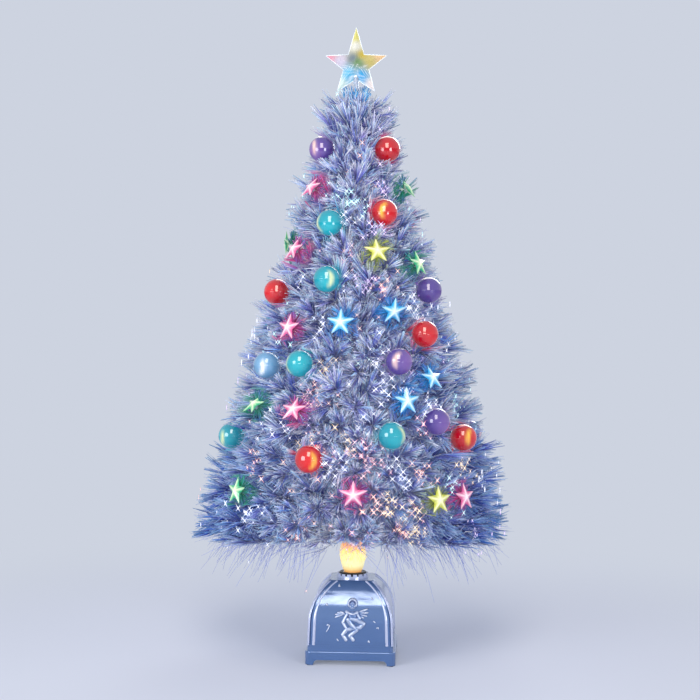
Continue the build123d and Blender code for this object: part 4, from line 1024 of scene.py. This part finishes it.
# Optical fibres: thin clear acrylic, wound in with the film, whose polished ends are points of light.
# They are drawn a little thicker than the real 0.5 mm, and those that lie across the film twice as thick,
# so that they still show.
fibre_rate = 11
fringe_rate = 7
loose_share = 0.18               # fibres that lie across the film
cluster_count = 130
spray_size = 14
spray_low, spray_high = 0.25, 1.0
skirt_edge = 0.235               # below it hangs only the fringe
starts, along, length, bend = [], [], [], []
for tier, members in enumerate(twig_lines):
    for begin, end, fullness in members:
        way = unit(end - begin)
        count = fibre_rate if fullness == 1.0 else fibre_rate // 2
        starts.append(end - way * chance.uniform(0.02, 0.05, (count, 1)))
        along.append(unit(way + chance.normal(0, 0.30, (count, 3))))
        length.append(chance.uniform(0.055, 0.086, count))
        bend.append(down * chance.uniform(0.0, 0.010, (count, 1)))
    if tier == 0:
        for begin, end, fullness in members:
            away = unit((end - begin) * np.array([1, 1, 0]))
            share = chance.uniform(0.1, 1.0, (fringe_rate, 1))
            starts.append(begin + (end - begin) * share + down * 0.004)
            along.append(unit(away * chance.uniform(0.3, 1.0, (fringe_rate, 1)) + down * 0.8
                              + chance.normal(0, 0.15, (fringe_rate, 3))))
            length.append(chance.uniform(0.045, 0.092, fringe_rate))
            bend.append(down * chance.uniform(0.0, 0.012, (fringe_rate, 1)))
starts, along, bend, length = (np.concatenate(a) for a in (starts, along, bend, length))
lying = chance.uniform(0, 1, len(starts)) < loose_share
across = square_to(along, chance.uniform(0, 6.28, len(starts)))[0]
along = np.where(lying[:, None], unit(along * 0.35 + across), along)
length = np.where(lying, length * 0.8, length)
tops = starts + along * length[:, None] + bend
limit = np.array([outline(z) for z in tops[:, 2]]) + 0.006
over = np.linalg.norm(tops[:, :2], axis=1) - limit
length = np.where(over > 0, np.maximum(length - over, 0.03), length)

# Sprays of fibres fan out to clusters of tips, most of them low on the front and back.
tops = starts + along * length[:, None] + bend
level, facing = tops[:, 2], unit(tops * [1, 1, 0])
odds = 0.07 + facing[:, 1] ** 4 * np.clip(1.3 - 1.2 * (level - spray_low), 0.15, 1)
odds = odds * (level > spray_low) * (level < spray_high)
spots = tops[chance.choice(len(tops), cluster_count, p=odds / odds.sum())]
out = unit(spots * [1, 1, 0])
pick = np.repeat(np.arange(cluster_count), spray_size)
drift = chance.normal(0, 0.013, (len(pick), 2))
slope = (peak_radius - skirt_radius) / (peak_height - skirt_height)
tips = (spots[pick] + np.cross(out, up)[pick] * drift[:, :1] + (up + out[pick] * slope) * drift[:, 1:]
        + out[pick] * chance.uniform(-0.006, 0.003, (len(pick), 1)))
roots = spots[pick] - out[pick] * 0.055 + chance.normal(0, 0.003, (len(pick), 3))
sprayed = np.concatenate([np.zeros(len(starts), bool), np.ones(len(pick), bool)])
starts, bend = np.concatenate([starts, roots]), np.concatenate([bend, np.zeros((len(pick), 3))])
along = np.concatenate([along, unit(tips - roots)])
length = np.concatenate([length, np.linalg.norm(tips - roots, axis=1)])
lying = np.concatenate([lying, np.zeros(len(pick), bool)])
fibres = lay(blade_points, starts, along, length, np.where(lying, 0.0014, 0.0007),
             np.where(lying, 0.0011, 0.0006), chance.uniform(0, 6.28, len(starts)), bend)
ends = fibres[:, -1]
before_bundle = (np.abs(ends[:, 0]) < 0.045) & (ends[:, 1] < 0) & (ends[:, 2] < skirt_edge)
under_star = (ends[:, 2] > foliage_crown) & (np.linalg.norm(ends[:, :2], axis=1) < 0.06)
inside = np.linalg.norm(ends[:, :2], axis=1) < skirt_radius
free = keep_clear(fibres) & ~before_bundle & ~under_star & inside
fibres, sprayed, lying = fibres[free], sprayed[free], lying[free]
tones = np.where(lying[:, None], tint_of("#D4DAF6"), tint_of("#8A98DC"))[:, None]
threads = strew("optical_fibres", blade_faces, fibres, tint=np.repeat(tones, len(blade_points), axis=1))
thread = lit_by_tint("clear_acrylic_fibre", 0.12, 0.08)
thread.cycles.emission_sampling = "AUTO"
threads.data.materials.append(thread)
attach(threads, "tree")


# Lit fibre ends: the polished end of a fibre glows, and its light is drawn as a small painted glint with four
# arms.
# It is white in the middle, and has the colour of its spray along the arms.
glint_slim = 0.17
bpy.ops.mesh.primitive_cone_add(vertices=3, radius1=0.5, radius2=0.0, depth=1.0, location=(0, 0, 0.5))
bpy.ops.object.transform_apply(location=True)
arm_points, arm_faces = pattern_of(bpy.context.object)
glint_points, glint_faces = [], []
for n in range(4):
    quarter = np.array(Matrix.Rotation(math.pi / 4 + math.pi / 2 * n, 3, "Y"))
    glint_faces += [[corner + n * len(arm_points) for corner in face] for face in arm_faces]
    glint_points.append((arm_points * [glint_slim, glint_slim, 1.0]) @ quarter.T)
glint_points = np.concatenate(glint_points)

ends = fibres[:, blade_points[:, 2] > 0.9].mean(axis=1)
gap = np.linalg.norm(ends[:, None] - spots[None], axis=2)
nearest = gap.argmin(axis=1)
high = np.clip((spots[:, 2] - 0.15) / 0.92, 0, 1)
middle_share = spots[:, 1] ** 2 / (spots[:, 0] ** 2 + spots[:, 1] ** 2)
warm = middle_share * np.clip(1.3 - high * 1.5, 0, 1)
kind = np.where(chance.uniform(0, 1, cluster_count) < warm,
                chance.choice(4, cluster_count, p=(0.36, 0.30, 0.24, 0.10)),
                chance.choice([3, 4, 5], cluster_count, p=(0.55, 0.25, 0.20)))
glint_tones = np.array([tint_of(c) for c in ("#FF8044", "#FF7894", "#FFC850", "#DCE4FF", "#6CDCE0", "#C48CF0")])
hangs = ends[:, 2] < skirt_edge
odds = np.where(sprayed, 0.9, 0.09) * np.where(hangs, 0.4, 1.0)
chosen = chance.uniform(0, 1, len(ends)) < odds
total = int(chosen.sum())
tones = glint_tones[kind[nearest[chosen]]] * chance.uniform(0.6, 1.1, (total, 1))
facing = unit(ends[chosen] * [1, 1, 0])
size = chance.uniform(0.0050, 0.0105, total) * np.where(hangs[chosen], 0.6, 1.0)
flat = np.cross(facing, up)
x, y, z = (glint_points[None, :, i, None] * size[:, None, None] for i in range(3))
glints = ends[chosen][:, None] + x * flat[:, None] + y * facing[:, None] + z * up
share = np.clip(np.linalg.norm(glint_points, axis=1) * 2.4 + 0.10, 0, 1)[None, :, None]
tints = (1 - share) + tones[:, None] * share
lit_ends = strew("lit_fibre_ends", glint_faces, glints, tint=tints)
lit_ends.data.materials.append(lit_by_tint("polished_fibre_end_lit", 0.3, 0.9))
lit_ends.visible_glossy = False
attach(lit_ends, "tree")


# Tree-top star: two clear acrylic halves, with a glowing white rim along every edge as painted highlight.
# The fibre end inside tints it, gold at the top, rose and amber at the arms, cyan between the legs.
topper_centre = 1.126
facets = 5                       # cuts of each face, and two more of each part
rib_rate, wave_rate = 1900, 260  # the white ribs moulded inside the legs
glassy = lit_by_tint("clear_moulded_acrylic_lit", 0.12, 0.16, {"Coat Weight": 1.0})
topper_lights = (
    ((0.000, 1.180), "#E0D870"), ((0.000, 1.162), "#F0F0E0"),        # top arm
    ((0.012, 1.146), "#D0B830"), ((-0.006, 1.138), "#708088"),       # its foot and the middle
    ((0.004, 1.130), "#709858"),
    ((-0.052, 1.144), "#F0A0B0"), ((-0.028, 1.136), "#D8D0E0"),      # left arm
    ((0.046, 1.142), "#F0C890"), ((0.026, 1.132), "#D0C068"),        # right arm
    ((-0.014, 1.110), "#58C0E8"), ((0.012, 1.106), "#28A8E0"),       # above the legs
    ((-0.030, 1.088), "#D8F0E4"), ((0.030, 1.088), "#F8ECE4"),       # legs
)
spots = np.array([place for place, code in topper_lights])
tones = np.array([tint_of(code) for place, code in topper_lights]) * 0.88
for name in ("topper_front", "topper_back"):
    half = merged_copy(name, name + "_lit")
    bpy.ops.mesh.subdivide(number_cuts=facets)
    bpy.ops.mesh.subdivide(number_cuts=2)
    bpy.ops.object.mode_set(mode="OBJECT")
    points = np.array([v.co for v in half.data.vertices])
    gap = np.linalg.norm(points[:, None, [0, 2]] - spots[None], axis=2)
    weight = 1 / (gap + 0.002) ** 3
    colour = (weight[..., None] * tones[None]).sum(axis=1) / weight.sum(axis=1)[:, None]
    streak = np.sin(points[:, 0] * rib_rate + np.sin(points[:, 2] * wave_rate) * 1.4) ** 8
    streak = streak * (points[:, 2] < topper_centre)
    streak = (streak * chance.uniform(0.2, 0.7, len(points)))[:, None]
    colour = colour * (1 - streak) + streak
    paint(half, colour, glassy)
    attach(half, "topper")
    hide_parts(name)

# The edge runs from tip to notch round the star, and the top arm is longer than the others.
tip_reach, notch_reach, top_reach = 0.062, 0.026, 0.074
rim_thick, rim_inset = 0.0024, 0.985
corners = []
for n in range(10):
    reach = top_reach if n == 0 else notch_reach if n % 2 else tip_reach
    corners.append((reach * math.sin(math.pi * n / 5), 0, reach * math.cos(math.pi * n / 5)))
corners = np.array(corners) * rim_inset + np.array([0, 0, topper_centre])
lines = np.roll(corners, -1, axis=0) - corners
rims = lay(blade_points, corners, unit(lines), np.linalg.norm(lines, axis=1), rim_thick, rim_thick)
rim = strew("topper_rim_painted_highlight", blade_faces, rims)
# The rim's white glow is a painted highlight along the star's edges.
rim_highlight = blank("painted_edge_highlight_of_acrylic")
surface(rim_highlight, "#E8F2F8", 0.2, {"Emission Color": "#F0FBFF", "Emission Strength": 0.25})
rim_highlight.cycles.emission_sampling = "NONE"
rim.data.materials.append(rim_highlight)
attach(rim, "topper")
